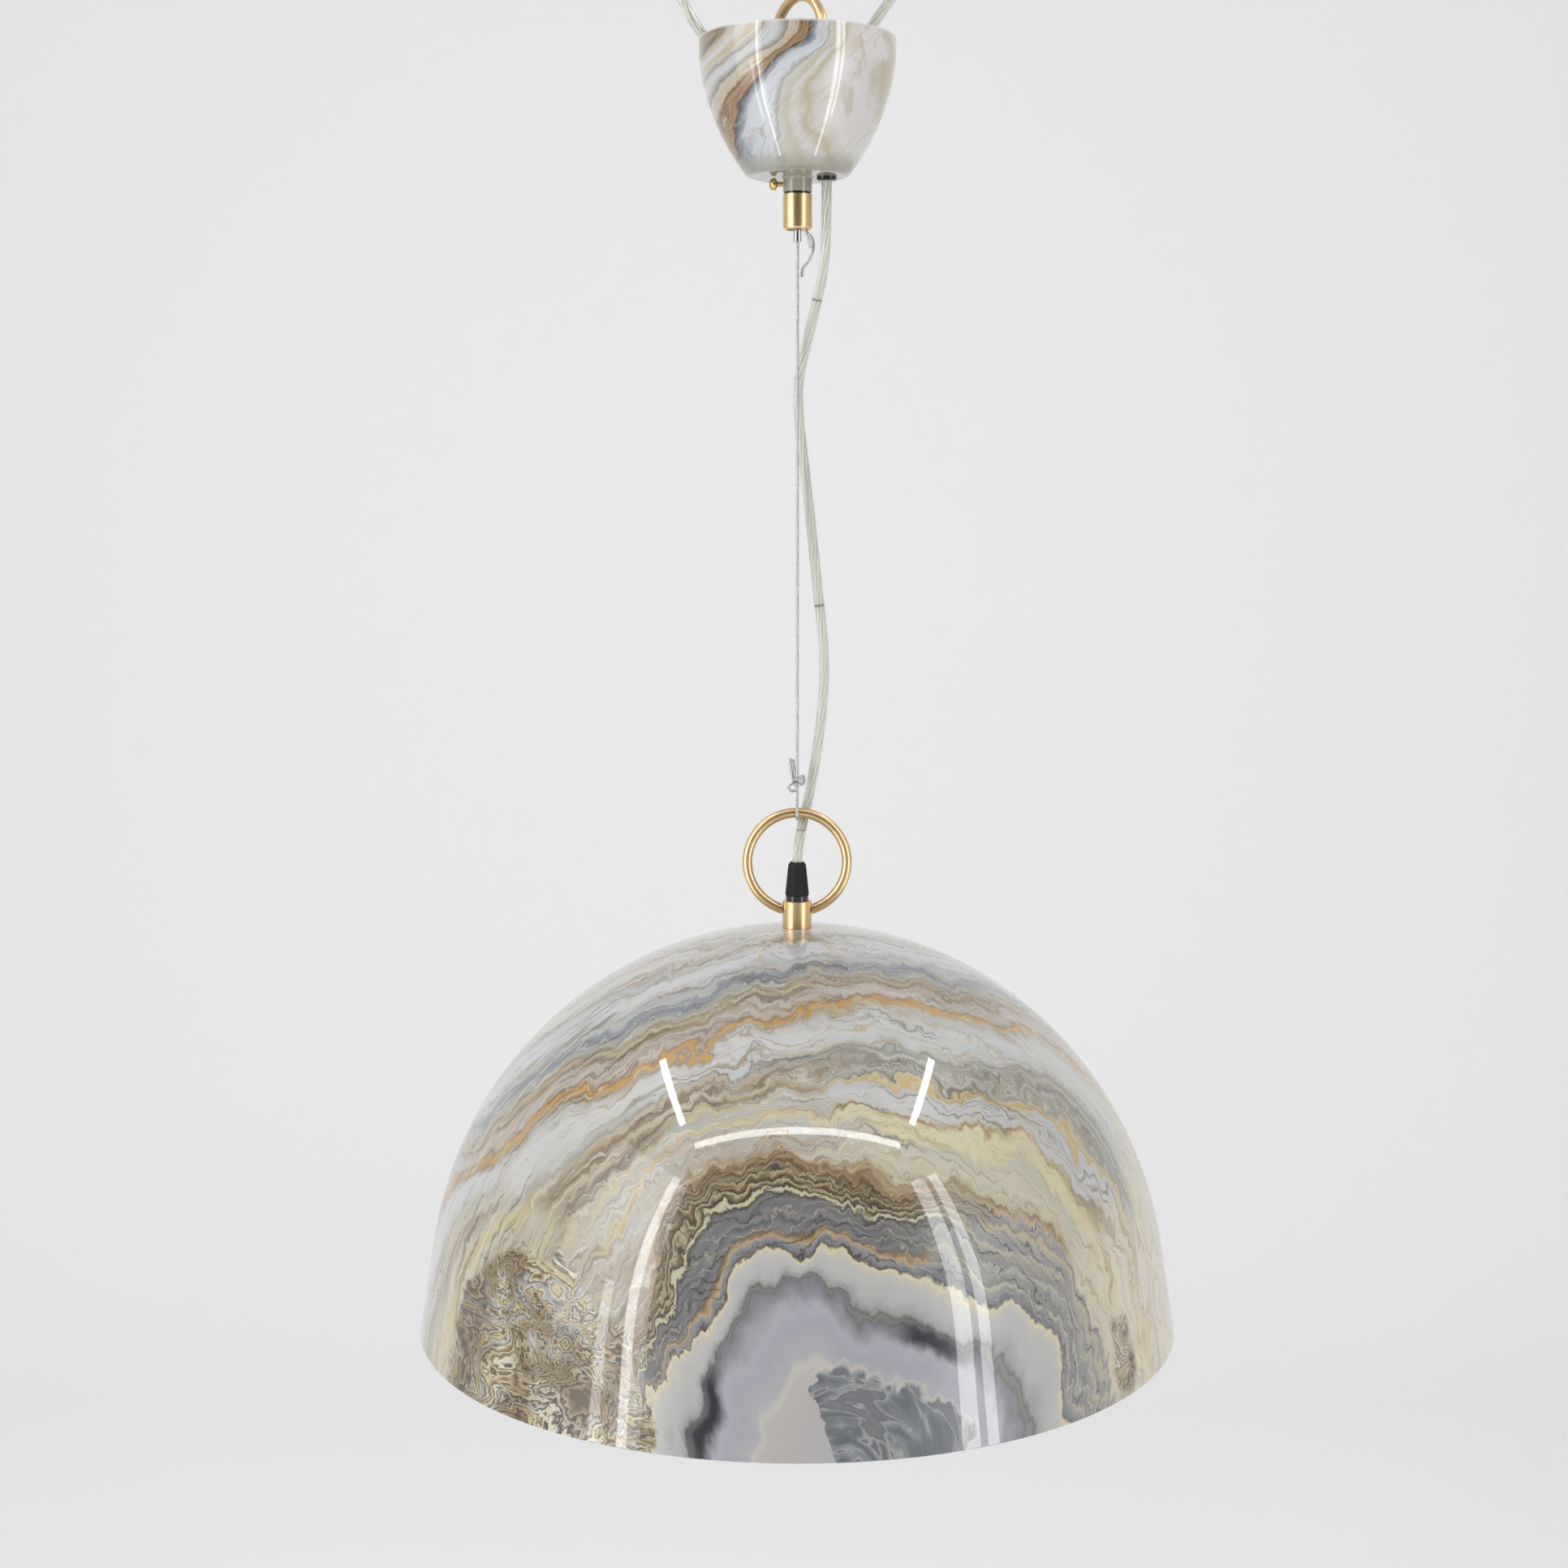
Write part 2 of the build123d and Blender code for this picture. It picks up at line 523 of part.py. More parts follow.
def cord_grip_collet():
    bore = CORD_RADIUS + SEAT_GAP
    top = COLLET_FOOT_Z + 10.8
    collet = turned((bore, COLLET_FOOT_Z), (COLLET_RADIUS, COLLET_FOOT_Z), (COLLET_RADIUS, top - 1.8),
                    (CORD_RADIUS + 0.4, top), (bore, top))
    for turn in (0, 90):
        collet -= Rot(0, 0, turn) * block_of((-5, 5), (-0.3, 0.3), (COLLET_FOOT_Z + 3, top + 1))
    return collet


def shade_boss():
    boss = bail_boss(SHADE_BOSS_TOP_Z, 0)
    boss -= rod(THREAD + SEAT_GAP, SHADE_BOSS_TOP_Z - STUD_DEPTH, SHADE_BOSS_TOP_Z + 1)
    boss -= rod(THREAD + SEAT_GAP, SHADE_BOSS_END_Z - 1, SHADE_BOSS_END_Z + STUD_DEPTH)
    return boss - rod(TUBE_BORE, SHADE_BOSS_END_Z, SHADE_BOSS_TOP_Z)


save("cord_grip_cap", cord_grip_cap())
save("cord_grip_stud", cord_grip_stud())
save("cord_grip_collet", cord_grip_collet())
save("shade_boss", shade_boss())

# Dome shade: spherical crown that runs into a short tapered skirt, with a rounded rim

SHADE_HOLE = 5.2
TAPER = radians(SKIRT_TAPER)


def dome_section(inset):
    """Crown arc and skirt end, in radius and height, for a surface inset from the outer one."""
    radius = DOME_RADIUS - inset
    middle = (radians(90) + TAPER) / 2
    crown = ThreePointArc(
        (SHADE_HOLE, DOME_CENTRE_Z + sqrt(radius ** 2 - SHADE_HOLE ** 2)),
        (radius * cos(middle), DOME_CENTRE_Z + radius * sin(middle)),
        (radius * cos(TAPER), DOME_CENTRE_Z + radius * sin(TAPER)))
    skirt_end = (SHADE_RADIUS - inset / cos(TAPER), RIM_Z + SHEET / 2)
    return crown, skirt_end


def dome_shade():
    outer, outer_rim = dome_section(0)
    inner, inner_rim = dome_section(SHEET)
    lip = ((outer_rim[0] + inner_rim[0]) / 2, RIM_Z)
    return turned_edges(
        outer, Line(outer @ 1, outer_rim), ThreePointArc(outer_rim, lip, inner_rim),
        Line(inner_rim, inner @ 1), inner, Line(inner @ 0, outer @ 0))


# Fastening of the shade: washer, earth tag with its screw, lock nut and threaded nipple

WASHER_RADIUS, WASHER_HEIGHT = 14.0, 1.2
WASHER_TOP_Z = DOME_CENTRE_Z + sqrt((DOME_RADIUS - SHEET) ** 2 - WASHER_RADIUS ** 2)
TAG_TOP_Z = WASHER_TOP_Z - WASHER_HEIGHT
TAG_X, TAG_HEIGHT, TAG_WIDTH = 19.0, 0.8, 7.0
SHADE_NUT_TOP_Z = TAG_TOP_Z - TAG_HEIGHT
HOLDER_TOP_Z = SHADE_NUT_TOP_Z - NUT_HEIGHT
NIPPLE_TOP_Z = SHADE_BOSS_END_Z + STUD_DEPTH - SEAT_GAP
NIPPLE_END_Z = HOLDER_TOP_Z - 9.0


def earth_tag():
    tag = rod(8.6, SHADE_NUT_TOP_Z, TAG_TOP_Z) + rod(TAG_WIDTH / 2, SHADE_NUT_TOP_Z, TAG_TOP_Z, TAG_X)
    tag += block_of((0, TAG_X), (-TAG_WIDTH / 2, TAG_WIDTH / 2), (SHADE_NUT_TOP_Z, TAG_TOP_Z))
    tag -= rod(THREAD + SEAT_GAP, SHADE_NUT_TOP_Z - 1, TAG_TOP_Z + 1)
    return tag - rod(1.5 + SEAT_GAP, SHADE_NUT_TOP_Z - 1, TAG_TOP_Z + 1, TAG_X)


def earth_screw():
    head_z = SHADE_NUT_TOP_Z - 2.0
    screw = rod(1.5, head_z, TAG_TOP_Z + 0.3, TAG_X) + rod(2.9, head_z, SHADE_NUT_TOP_Z, TAG_X)
    return screw - block_of((TAG_X - 3, TAG_X + 3), (-0.35, 0.35), (head_z - 1, head_z + 0.8))


save("dome_shade", dome_shade())
save("shade_washer", tube(WASHER_RADIUS, THREAD + SEAT_GAP, TAG_TOP_Z, WASHER_TOP_Z))
save("earth_tag", earth_tag())
save("earth_screw", earth_screw())
save("shade_lock_nut", hex_nut(HOLDER_TOP_Z, SHADE_NUT_TOP_Z))
save("shade_nipple", tube(THREAD, TUBE_BORE, NIPPLE_END_Z, NIPPLE_TOP_Z))
save("power_cord_inner", rod(CORD_RADIUS, NIPPLE_END_Z - 1.0, CORD_ENTRY_Z))

# Lampholder for a 27 mm screw cap: cap, lock screw, body, insert, contacts and wire terminals

HOLDER_RADIUS = 19.6
HOLDER_NECK = 9.0
HOLDER_THREAD_END_Z = HOLDER_TOP_Z - 9.6
CAP_END_Z = HOLDER_TOP_Z - 22.0
HOLDER_END_Z = HOLDER_TOP_Z - 57.0
SPIGOT_RADIUS, SPIGOT_HEIGHT = 17.6, 5.5
SOCKET_RADIUS = 13.65
LEDGE_RADIUS = SPIGOT_RADIUS - 2.0
LEDGE_Z = HOLDER_END_Z + 26.5
INSERT_TOP_Z = LEDGE_Z + 9.0
LOCK_SCREW_Z = HOLDER_TOP_Z - 4.0
POCKET_X, POCKET_DEPTH = 8.5, 4.0
RECESS_DEPTH = 1.5
CONTACT_TOP_Z = LEDGE_Z + RECESS_DEPTH
CONTACT_END_Z = CONTACT_TOP_Z - 2.15


def lampholder_cap():
    inner = SPIGOT_RADIUS + 0.1
    cap = turned(
        (THREAD + SEAT_GAP, HOLDER_TOP_Z), (HOLDER_NECK - 0.6, HOLDER_TOP_Z),
        (HOLDER_NECK, HOLDER_TOP_Z - 0.8),
        (HOLDER_NECK, HOLDER_TOP_Z - 8), (17.5, HOLDER_TOP_Z - 11.5), (HOLDER_RADIUS, HOLDER_TOP_Z - 15),
        (HOLDER_RADIUS, CAP_END_Z), (inner, CAP_END_Z), (inner, HOLDER_TOP_Z - 15.5),
        (inner - 1.5, HOLDER_TOP_Z - 13.2), (HOLDER_NECK - 1.8, HOLDER_THREAD_END_Z),
        (THREAD + SEAT_GAP, HOLDER_THREAD_END_Z))
    return cap - bar(SCREW_SHAFT + SEAT_GAP, (-HOLDER_NECK - 1, 0, LOCK_SCREW_Z), (-4, 0, LOCK_SCREW_Z))


def lampholder_body():
    spigot_z = CAP_END_Z + SPIGOT_HEIGHT
    return turned(
        (SOCKET_RADIUS, HOLDER_END_Z), (HOLDER_RADIUS - 0.8, HOLDER_END_Z),
        (HOLDER_RADIUS, HOLDER_END_Z + 0.8),
        (HOLDER_RADIUS, CAP_END_Z), (SPIGOT_RADIUS, CAP_END_Z), (SPIGOT_RADIUS, spigot_z),
        (LEDGE_RADIUS, spigot_z), (LEDGE_RADIUS, LEDGE_Z), (SOCKET_RADIUS, LEDGE_Z))


def lampholder_insert():
    insert = rod(LEDGE_RADIUS - 0.1, LEDGE_Z, INSERT_TOP_Z)
    for side in (-1, 1):
        pocket = (side * POCKET_X - 2.5, side * POCKET_X + 2.5)
        insert -= block_of(pocket, (-4.5, 4.5), (INSERT_TOP_Z - POCKET_DEPTH, INSERT_TOP_Z + 1))
    return insert - block_of((-3.5, 3.5), (-2, 2), (LEDGE_Z - 1, CONTACT_TOP_Z))


def centre_contact():
    strip = block_of((-3.3, 3.3), (-1.8, 1.8), (CONTACT_TOP_Z - 0.5, CONTACT_TOP_Z))
    return strip + block_of((-1.5, 1.5), (-1.8, 1.8), (CONTACT_END_Z, CONTACT_TOP_Z - 0.4))


def side_contact():
    wall_x = -SOCKET_RADIUS + 0.15
    leaf = block_of((wall_x, wall_x + 0.3), (-2, 2), (LEDGE_Z - 6, LEDGE_Z))
    return leaf + block_of((wall_x, wall_x + 2.3), (-2, 2), (LEDGE_Z - 0.4, LEDGE_Z))


def holder_terminal(x):
    floor_z = INSERT_TOP_Z - POCKET_DEPTH
    plate = block_of((x - 2.3, x + 2.3), (-4.3, 4.3), (floor_z, floor_z + 1))
    head = rod(1.9, floor_z + 1, floor_z + 2.6, x)
    return plate + head - block_of((x - 3, x + 3), (-0.3, 0.3), (floor_z + 2, floor_z + 3))


save("lampholder_cap", lampholder_cap())
lock_screw_head = (-HOLDER_NECK - 0.4, 0, LOCK_SCREW_Z)
save("lampholder_lock_screw", bar(SCREW_SHAFT, (-THREAD, 0, LOCK_SCREW_Z), lock_screw_head))
save("lampholder_body", lampholder_body())
save("lampholder_insert", lampholder_insert())
save("centre_contact", centre_contact())
save("side_contact", side_contact())
save("lampholder_terminals", holder_terminal(-POCKET_X), holder_terminal(POCKET_X))

# Bulb: 60 mm globe on a 27 mm screw cap

BULB_TIP_Z = CONTACT_END_Z - 0.3
BULB_CONTACT_HEIGHT = 0.8
BULB_CAP_TOP_Z = BULB_TIP_Z - 2.2
BULB_CAP_END_Z = BULB_CAP_TOP_Z - 23.0
BULB_CAP_RADIUS = 13.1
BULB_LENGTH = 105.0
GLOBE_RADIUS = 30.0
GLOBE_CENTRE_Z = BULB_TIP_Z - BULB_LENGTH + GLOBE_RADIUS
GLASS = 1.0
SHOULDER = radians(32)


def bulb_cap():
    wall = 0.5
    return turned(
        (10.6, BULB_CAP_TOP_Z), (12.4, BULB_CAP_TOP_Z - 1.6), (BULB_CAP_RADIUS, BULB_CAP_TOP_Z - 3.0),
        (BULB_CAP_RADIUS, BULB_CAP_END_Z), (BULB_CAP_RADIUS - wall, BULB_CAP_END_Z),
        (BULB_CAP_RADIUS - wall, BULB_CAP_TOP_Z - 3.2), (12.0, BULB_CAP_TOP_Z - 2.0),
        (10.4, BULB_CAP_TOP_Z - wall), (0, BULB_CAP_TOP_Z - wall), (0, BULB_CAP_TOP_Z))


def globe_lines(inset):
    """Neck, shoulder and globe of the glass as far as its tip, inset from the outer surface."""
    neck = BULB_CAP_RADIUS - 0.6 - inset
    radius = GLOBE_RADIUS - inset
    shoulder = (radius * cos(SHOULDER), GLOBE_CENTRE_Z + radius * sin(SHOULDER))
    root = (neck, BULB_CAP_END_Z + 2.5)
    collar = (neck, BULB_CAP_END_Z - 2.0)
    return (Line(root, collar), TangentArc(shoulder, collar, tangent=(-sin(SHOULDER), cos(SHOULDER))),
            ThreePointArc(shoulder, (radius, GLOBE_CENTRE_Z), (0, GLOBE_CENTRE_Z - radius)))


def bulb_globe():
    outer, inner = globe_lines(0), globe_lines(GLASS)
    return turned_edges(*outer, Line(outer[-1] @ 1, inner[-1] @ 1), *inner, Line(inner[0] @ 0, outer[0] @ 0))


save("bulb_contact", rod(4.6, BULB_TIP_Z - BULB_CONTACT_HEIGHT, BULB_TIP_Z))
save("bulb_insulator", turned((0, BULB_TIP_Z - BULB_CONTACT_HEIGHT), (7.5, BULB_TIP_Z - BULB_CONTACT_HEIGHT),
                              (10.5, BULB_CAP_TOP_Z), (0, BULB_CAP_TOP_Z)))
save("bulb_cap", bulb_cap())
save("bulb_globe", bulb_globe())
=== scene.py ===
# %% [markdown]
# # A marble dome pendant
# A metal dome lamp hangs from a ceiling hook on a steel wire. Its clear power cord runs beside the wire.
# The solids come from a CAD model. This lesson dresses them: it adds the twisted cord, the stranded wire
# and the coil spring, and gives every visible surface a material made of nodes.

# %% Load the frame
from math import asin, cos, pi, radians, sin

import bpy
import bmesh
from mathutils import Euler, Matrix, Vector


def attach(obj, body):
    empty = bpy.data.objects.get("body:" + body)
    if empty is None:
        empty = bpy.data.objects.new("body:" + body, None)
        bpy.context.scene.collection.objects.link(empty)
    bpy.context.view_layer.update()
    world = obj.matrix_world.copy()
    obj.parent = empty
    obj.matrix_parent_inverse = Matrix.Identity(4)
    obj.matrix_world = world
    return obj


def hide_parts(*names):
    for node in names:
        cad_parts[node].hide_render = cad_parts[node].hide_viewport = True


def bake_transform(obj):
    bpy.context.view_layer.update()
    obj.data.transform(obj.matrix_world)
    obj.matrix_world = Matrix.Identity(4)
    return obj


MM = 0.001
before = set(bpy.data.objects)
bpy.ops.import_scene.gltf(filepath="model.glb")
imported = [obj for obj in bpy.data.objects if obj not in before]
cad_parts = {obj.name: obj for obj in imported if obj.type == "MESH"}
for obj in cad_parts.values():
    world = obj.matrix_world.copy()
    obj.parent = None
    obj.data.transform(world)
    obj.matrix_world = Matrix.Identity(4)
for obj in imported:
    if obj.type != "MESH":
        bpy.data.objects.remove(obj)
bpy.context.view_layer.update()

# %% [markdown]
# ## Camera
# The photograph looks slightly down on the shade. Its lens was found from the ellipse of the rim and the
# size of the canopy: about 52 mm on a 36 mm frame, 1.19 m in front of the lamp's axis.

# %% Camera
SENSOR = 36.0
LENS = 52.49
CAMERA_SPOT = (-0.0069, -1.190, -0.263)
CAMERA_PITCH = radians(6.42)


def add_object(name, data):
    """Puts a mesh, light or camera into the scene."""
    piece = bpy.data.objects.new(name, data)
    bpy.context.scene.collection.objects.link(piece)
    return piece


camera_data = bpy.data.cameras.new("photo_camera")
camera_data.sensor_width = SENSOR
camera_data.lens = LENS
camera_data.clip_end = 30.0
camera = add_object("photo_camera", camera_data)
camera.location = CAMERA_SPOT
camera.rotation_euler = (pi / 2 - CAMERA_PITCH, 0, 0)
bpy.context.scene.camera = camera
bpy.context.scene.view_settings.view_transform = "Standard"
print("camera", CAMERA_SPOT)

# %% [markdown]
# ## Nodes as arithmetic
# Materials and Geometry Nodes are networks of small nodes. A long formula takes many Math nodes, which are
# hard to read as a list of links. Here a `Signal` stands for what leaves a node's socket, and `+`, `-`,
# `*`, `/`, `**`, `<` and `>` on signals each add the Math node that does the sum, in the same tree.

# %% Signals
class Signal:
    """What leaves a node's socket. Arithmetic with signals adds Math nodes."""

    def __init__(self, socket):
        self.socket = socket

    def __add__(self, other):
        return calc("ADD", self, other)

    def __sub__(self, other):
        return calc("SUBTRACT", self, other)

    def __rsub__(self, other):
        return calc("SUBTRACT", other, self)

    def __mul__(self, other):
        return calc("MULTIPLY", self, other)

    def __truediv__(self, other):
        return calc("DIVIDE", self, other)

    def __pow__(self, other):
        return calc("POWER", self, other)

    def __gt__(self, other):
        return calc("GREATER_THAN", self, other)

    def __lt__(self, other):
        return calc("LESS_THAN", self, other)

    def __abs__(self):
        return calc("ABSOLUTE", self)


def plug(socket, value):
    """Links a signal to an input socket, or sets the socket to a number, colour or vector."""
    if isinstance(value, Signal):
        socket.id_data.links.new(value.socket, socket)
    else:
        socket.default_value = value


def grow(tree, kind, inputs=(), **settings):
    """Adds a node to a tree and returns it. Inputs are (name or number, value) pairs."""
    node = tree.nodes.new(kind)
    for name, value in settings.items():
        setattr(node, name, value)
    for key, value in dict(inputs).items():
        plug(node.inputs[key], value)
    return node


def put(kind, inputs, output=0, **settings):
    """Adds a shader node to the tree of the signals among its inputs. Returns one output as a signal."""
    tree = next(value.socket.id_data for value in inputs.values() if isinstance(value, Signal))
    return Signal(grow(tree, "ShaderNode" + kind, inputs, **settings).outputs[output])


def calc(operation, *values, clamp=False):
    return put("Math", dict(enumerate(values)), operation=operation, use_clamp=clamp)


def scaled(value, factor, start):
    """factor * value + start, in one node."""
    return calc("MULTIPLY_ADD", value, factor, start)


def vector_calc(operation, *values, scale=None):
    """One Vector Math node: its number for a distance or length, and its vector otherwise."""
    inputs = dict(enumerate(values))
    if scale is not None:
        inputs["Scale"] = scale
    output = "Value" if operation in ("DISTANCE", "LENGTH") else "Vector"
    return put("VectorMath", inputs, output, operation=operation)


# %% [markdown]
# ## Helpers for materials
# With signals in place, these few helpers are all that the finishes below need: smooth steps, mixed
# colours, colour ramps, noise, and the shader's own sockets.

# %% Helpers for materials
def smooth(value, low, high):
    """0 below low, 1 above high, smooth in between. High may be the lower of the two."""
    inputs = {"Value": value, "From Min": low, "From Max": high}
    return put("MapRange", inputs, interpolation_type="SMOOTHSTEP")


def stage_of(value, low, high):
    """0 at low and 1 at high, in a straight line."""
    return put("MapRange", {"Value": value, "From Min": low, "From Max": high})


def mixed(share, first, second, blend="MIX"):
    """Mixes two colours by a share from 0 to 1."""
    return put("Mix", {0: share, 6: first, 7: second}, 2, data_type="RGBA", blend_type=blend)


def ramp(value, stops, low=0, high=1000):
    """A colour ramp from (place, red, green, blue) stops: places from low to high, colours in thousandths."""
    colours = put("ValToRGB", {"Fac": value})
    elements = colours.socket.node.color_ramp.elements
    while len(elements) < len(stops):
        elements.new(1.0)
    for element, (place, *colour) in zip(elements, sorted(stops)):
        element.position = (place - low) / (high - low)
        element.color = [value / 1000 for value in colour] + [1.0]
    return colours


def grain(where, scale, detail=2.0, roughness=0.5, distortion=0.0):
    inputs = {"Vector": where, "Scale": scale, "Detail": detail, "Roughness": roughness,
              "Distortion": distortion}
    return put("TexNoise", inputs)


def new_material(name):
    material = bpy.data.materials.new(name)
    material.use_nodes = True
    return material, material.node_tree.nodes["Principled BSDF"]


def object_place(shader):
    """Where a point lies on its object, in the shared frame."""
    return Signal(grow(shader.id_data, "ShaderNodeTexCoord").outputs["Object"])


def parts_of(vector):
    """X, Y and Z of a vector."""
    return [Signal(socket) for socket in put("SeparateXYZ", {0: vector}).socket.node.outputs]


def finish_with(shader, **inputs):
    """Fills the shader's own sockets. Numbers are constants all over the surface."""
    for name, value in inputs.items():
        plug(shader.inputs[name.replace("_", " ")], value)


def bump(shader, height, distance):
    plug(shader.inputs["Normal"], put("Bump", {"Height": height, "Distance": distance}))

# %% [markdown]
# ## The power cord
# The clear cord has three cores. Inside its round sheath of clear PVC they are drawn as six twisted
# bundles of tinned wire. It leaves the terminal block in the canopy, rises over the rim in a tall loop
# and comes back down through the bush in the canopy's floor, then follows the wire to the cord grip. One
# smooth NURBS spline carries each run. Sheath and cores are swept along points that are read from that
# spline.

# %% Routes of the cord
LOOP_ROUTE = [
    (-25, 14.5, -60), (-31.5, 10.5, -45), (-40, 4.5, -25.5), (-57, 2, -4), (-68, 3, 26), (-66, 4.5, 56),
    (-46, 6, 80), (-14, 7, 92), (20, 6.5, 90), (49, 5.5, 72), (62, 4.5, 42), (53, 3.2, 10), (31.6, 2, -19),
    (20.5, 1.2, -43), (14.8, 0, -66), (14.8, 0, -88.2)]
DOWN_ROUTE = [
    (14.8, 0, -88.2), (14.8, 0, -104), (14.4, 1.0, -120), (13.2, 2.1, -134), (5.9, 5.0, -165),
    (0.1, 6.3, -187), (0.5, 6.5, -206), (3.2, 6.6, -228), (6.5, 6.8, -256), (10.4, 7.0, -293),
    (14.6, 7.2, -330), (13.4, 7.6, -358), (9.4, 8.9, -388), (5.9, 9.8, -405.5), (0, 0, -430.5),
    (0, 0, -439.6)]
CORD_RADIUS = 2.7 * MM


def spline_points(name, route, resolution=16):
    """Points in metres along a smooth NURBS spline whose control points are the route."""
    curve = bpy.data.curves.new(name, "CURVE")
    curve.dimensions = "3D"
    spline = curve.splines.new("NURBS")
    spline.points.add(len(route) - 1)
    for point, (x, y, z) in zip(spline.points, route):
        point.co = (x * MM, y * MM, z * MM, 1.0)
    spline.order_u = 3
    spline.use_endpoint_u = True
    spline.resolution_u = resolution
    holder = bpy.data.objects.new(name, curve)
    mesh = bpy.data.meshes.new_from_object(holder)
    points = [vertex.co.copy() for vertex in mesh.vertices]
    bpy.data.objects.remove(holder)
    bpy.data.curves.remove(curve)
    bpy.data.meshes.remove(mesh)
    return points


loop_points = spline_points("cord_loop_line", LOOP_ROUTE)
down_points = spline_points("cord_down_line", DOWN_ROUTE)
print("loop", len(loop_points), "down", len(down_points))

# %% [markdown]
# ## Strands round a path
# Twisted cores, a stranded steel wire and a coil spring are the same thing to Geometry Nodes: one or more
# thin rods that wind round a line. The tree below copies the line once for each strand, pushes every
# copy out along the line's normal, turned by the distance along it, and gives it a round section.

# %% A tree that winds strands round a line
STRAND_INPUTS = {
    "Geometry": ("Geometry", None), "Strands": ("Int", 3), "Circle": ("Float", 0.001),
    "Strand radius": ("Float", 0.001), "Lay": ("Float", 0.02), "Step": ("Float", 0.001), "Sides": ("Int", 8),
    "Material": ("Material", None)}


def make_strand_tree():
    tree = bpy.data.node_groups.new("wind_strands", "GeometryNodeTree")
    for name, (kind, default) in STRAND_INPUTS.items():
        socket = tree.interface.new_socket(name=name, in_out="INPUT", socket_type="NodeSocket" + kind)
        if default is not None:
            socket.default_value = default
    tree.interface.new_socket(name="Geometry", in_out="OUTPUT", socket_type="NodeSocketGeometry")

    def step(kind, output=0, settings=(), **inputs):
        """One Geometry Nodes node, with one output as a signal."""
        sockets = {name.replace("_", " "): value for name, value in inputs.items()}
        return Signal(grow(tree, "GeometryNode" + kind, sockets, **dict(settings)).outputs[output])

    given = {socket.name: Signal(socket) for socket in grow(tree, "NodeGroupInput").outputs}
    line = step("MeshToCurve", Mesh=given["Geometry"])
    even = step("ResampleCurve", settings={"mode": "LENGTH"}, Curve=line, Length=given["Step"])
    copies = step("DuplicateElements", settings={"domain": "SPLINE"}, Geometry=even, Amount=given["Strands"])
    number = Signal(copies.socket.node.outputs["Duplicate Index"])
    share = number / given["Strands"]
    turns = step("SplineParameter", "Length") / given["Lay"]
    angle = (turns + share) * (2 * pi)
    normal = step("InputNormal")
    side = vector_calc("CROSS_PRODUCT", step("InputTangent"), normal)
    across = vector_calc("SCALE", normal, scale=calc("COSINE", angle))
    beside = vector_calc("SCALE", side, scale=calc("SINE", angle))
    push = vector_calc("SCALE", vector_calc("ADD", across, beside), scale=given["Circle"])
    wound = step("SetPosition", Geometry=copies, Offset=push)
    ring = step("CurvePrimitiveCircle", Resolution=given["Sides"], Radius=given["Strand radius"])
    rods = step("CurveToMesh", Curve=wound, Profile_Curve=ring, Fill_Caps=True)
    soft = step("SetShadeSmooth", Geometry=rods)
    real = step("RealizeInstances", Geometry=soft)
    painted = step("SetMaterial", Geometry=real, Material=given["Material"])
    grow(tree, "NodeGroupOutput", {"Geometry": painted})
    return tree


strand_tree = make_strand_tree()


# %% Meshes made by the tree
def line_mesh(name, runs):
    """Open lines as the edges of one mesh, each through its own points."""
    spots, edges = [], []
    for run in runs:
        edges += [(len(spots) + k, len(spots) + k + 1) for k in range(len(run) - 1)]
        spots += [tuple(point) for point in run]
    mesh = bpy.data.meshes.new(name)
    mesh.from_pydata(spots, edges, [])
    return mesh


def wound_strands(name, *runs, **values):
    """Winds strands round lines with the tree, and keeps only the plain mesh that it makes."""
    base_mesh = line_mesh(name + "_line", runs)
    holder = add_object(name + "_base", base_mesh)
    modifier = holder.modifiers.new("tree", "NODES")
    modifier.node_group = strand_tree
    for item in strand_tree.interface.items_tree:
        key = item.name.replace(" ", "_").lower()
        if item.item_type == "SOCKET" and item.in_out == "INPUT" and key in values:
            modifier[item.identifier] = values[key]
    bpy.context.view_layer.update()
    graph = bpy.context.evaluated_depsgraph_get()
    mesh = bpy.data.meshes.new_from_object(holder.evaluated_get(graph))
    mesh.name = name
    bpy.data.objects.remove(holder)
    bpy.data.meshes.remove(base_mesh)
    return mesh

# %% [markdown]
# ## Stage and light
# A pale floor and backdrop stand round the lamp. The gloss of the real shade mirrors a photographer's light
# tent: a bright strip down each side, a bar across the top and two strips overhead, with the darker open
# front between them. Area lights stand in those places, found by mirroring the camera's rays in the dome.

# %% Stage
FLOOR_Z = -1.25
FRONT_Y, BACK_Y = -6.0, 2.2
WALL_TOP_Z = 4.0
STAGE_HALF = 6.0
BEND = 0.9
BEND_STEPS = 12
PAPER_GLOW = 0.22


def make_backdrop():
    """Floor that bends up into a wall behind the lamp, as one sheet."""
    section = [(FRONT_Y, FLOOR_Z)]
    for step in range(BEND_STEPS + 1):
        turn = pi / 2 * step / BEND_STEPS
        section.append((BACK_Y - BEND + BEND * sin(turn), FLOOR_Z + BEND * (1 - cos(turn))))
    section.append((BACK_Y, WALL_TOP_Z))
    spots = [(x, y, z) for x in (-STAGE_HALF, STAGE_HALF) for y, z in section]
    count = len(section)
    mesh = bpy.data.meshes.new("backdrop")
    mesh.from_pydata(spots, [], [(k, count + k, count + k + 1, k + 1) for k in range(count - 1)])
    for face in mesh.polygons:
        face.use_smooth = True
    return add_object("backdrop", mesh)


def ray_kinds(tree):
    """The Light Path node's answers, by name."""
    return {socket.name: Signal(socket) for socket in grow(tree, "ShaderNodeLightPath").outputs}


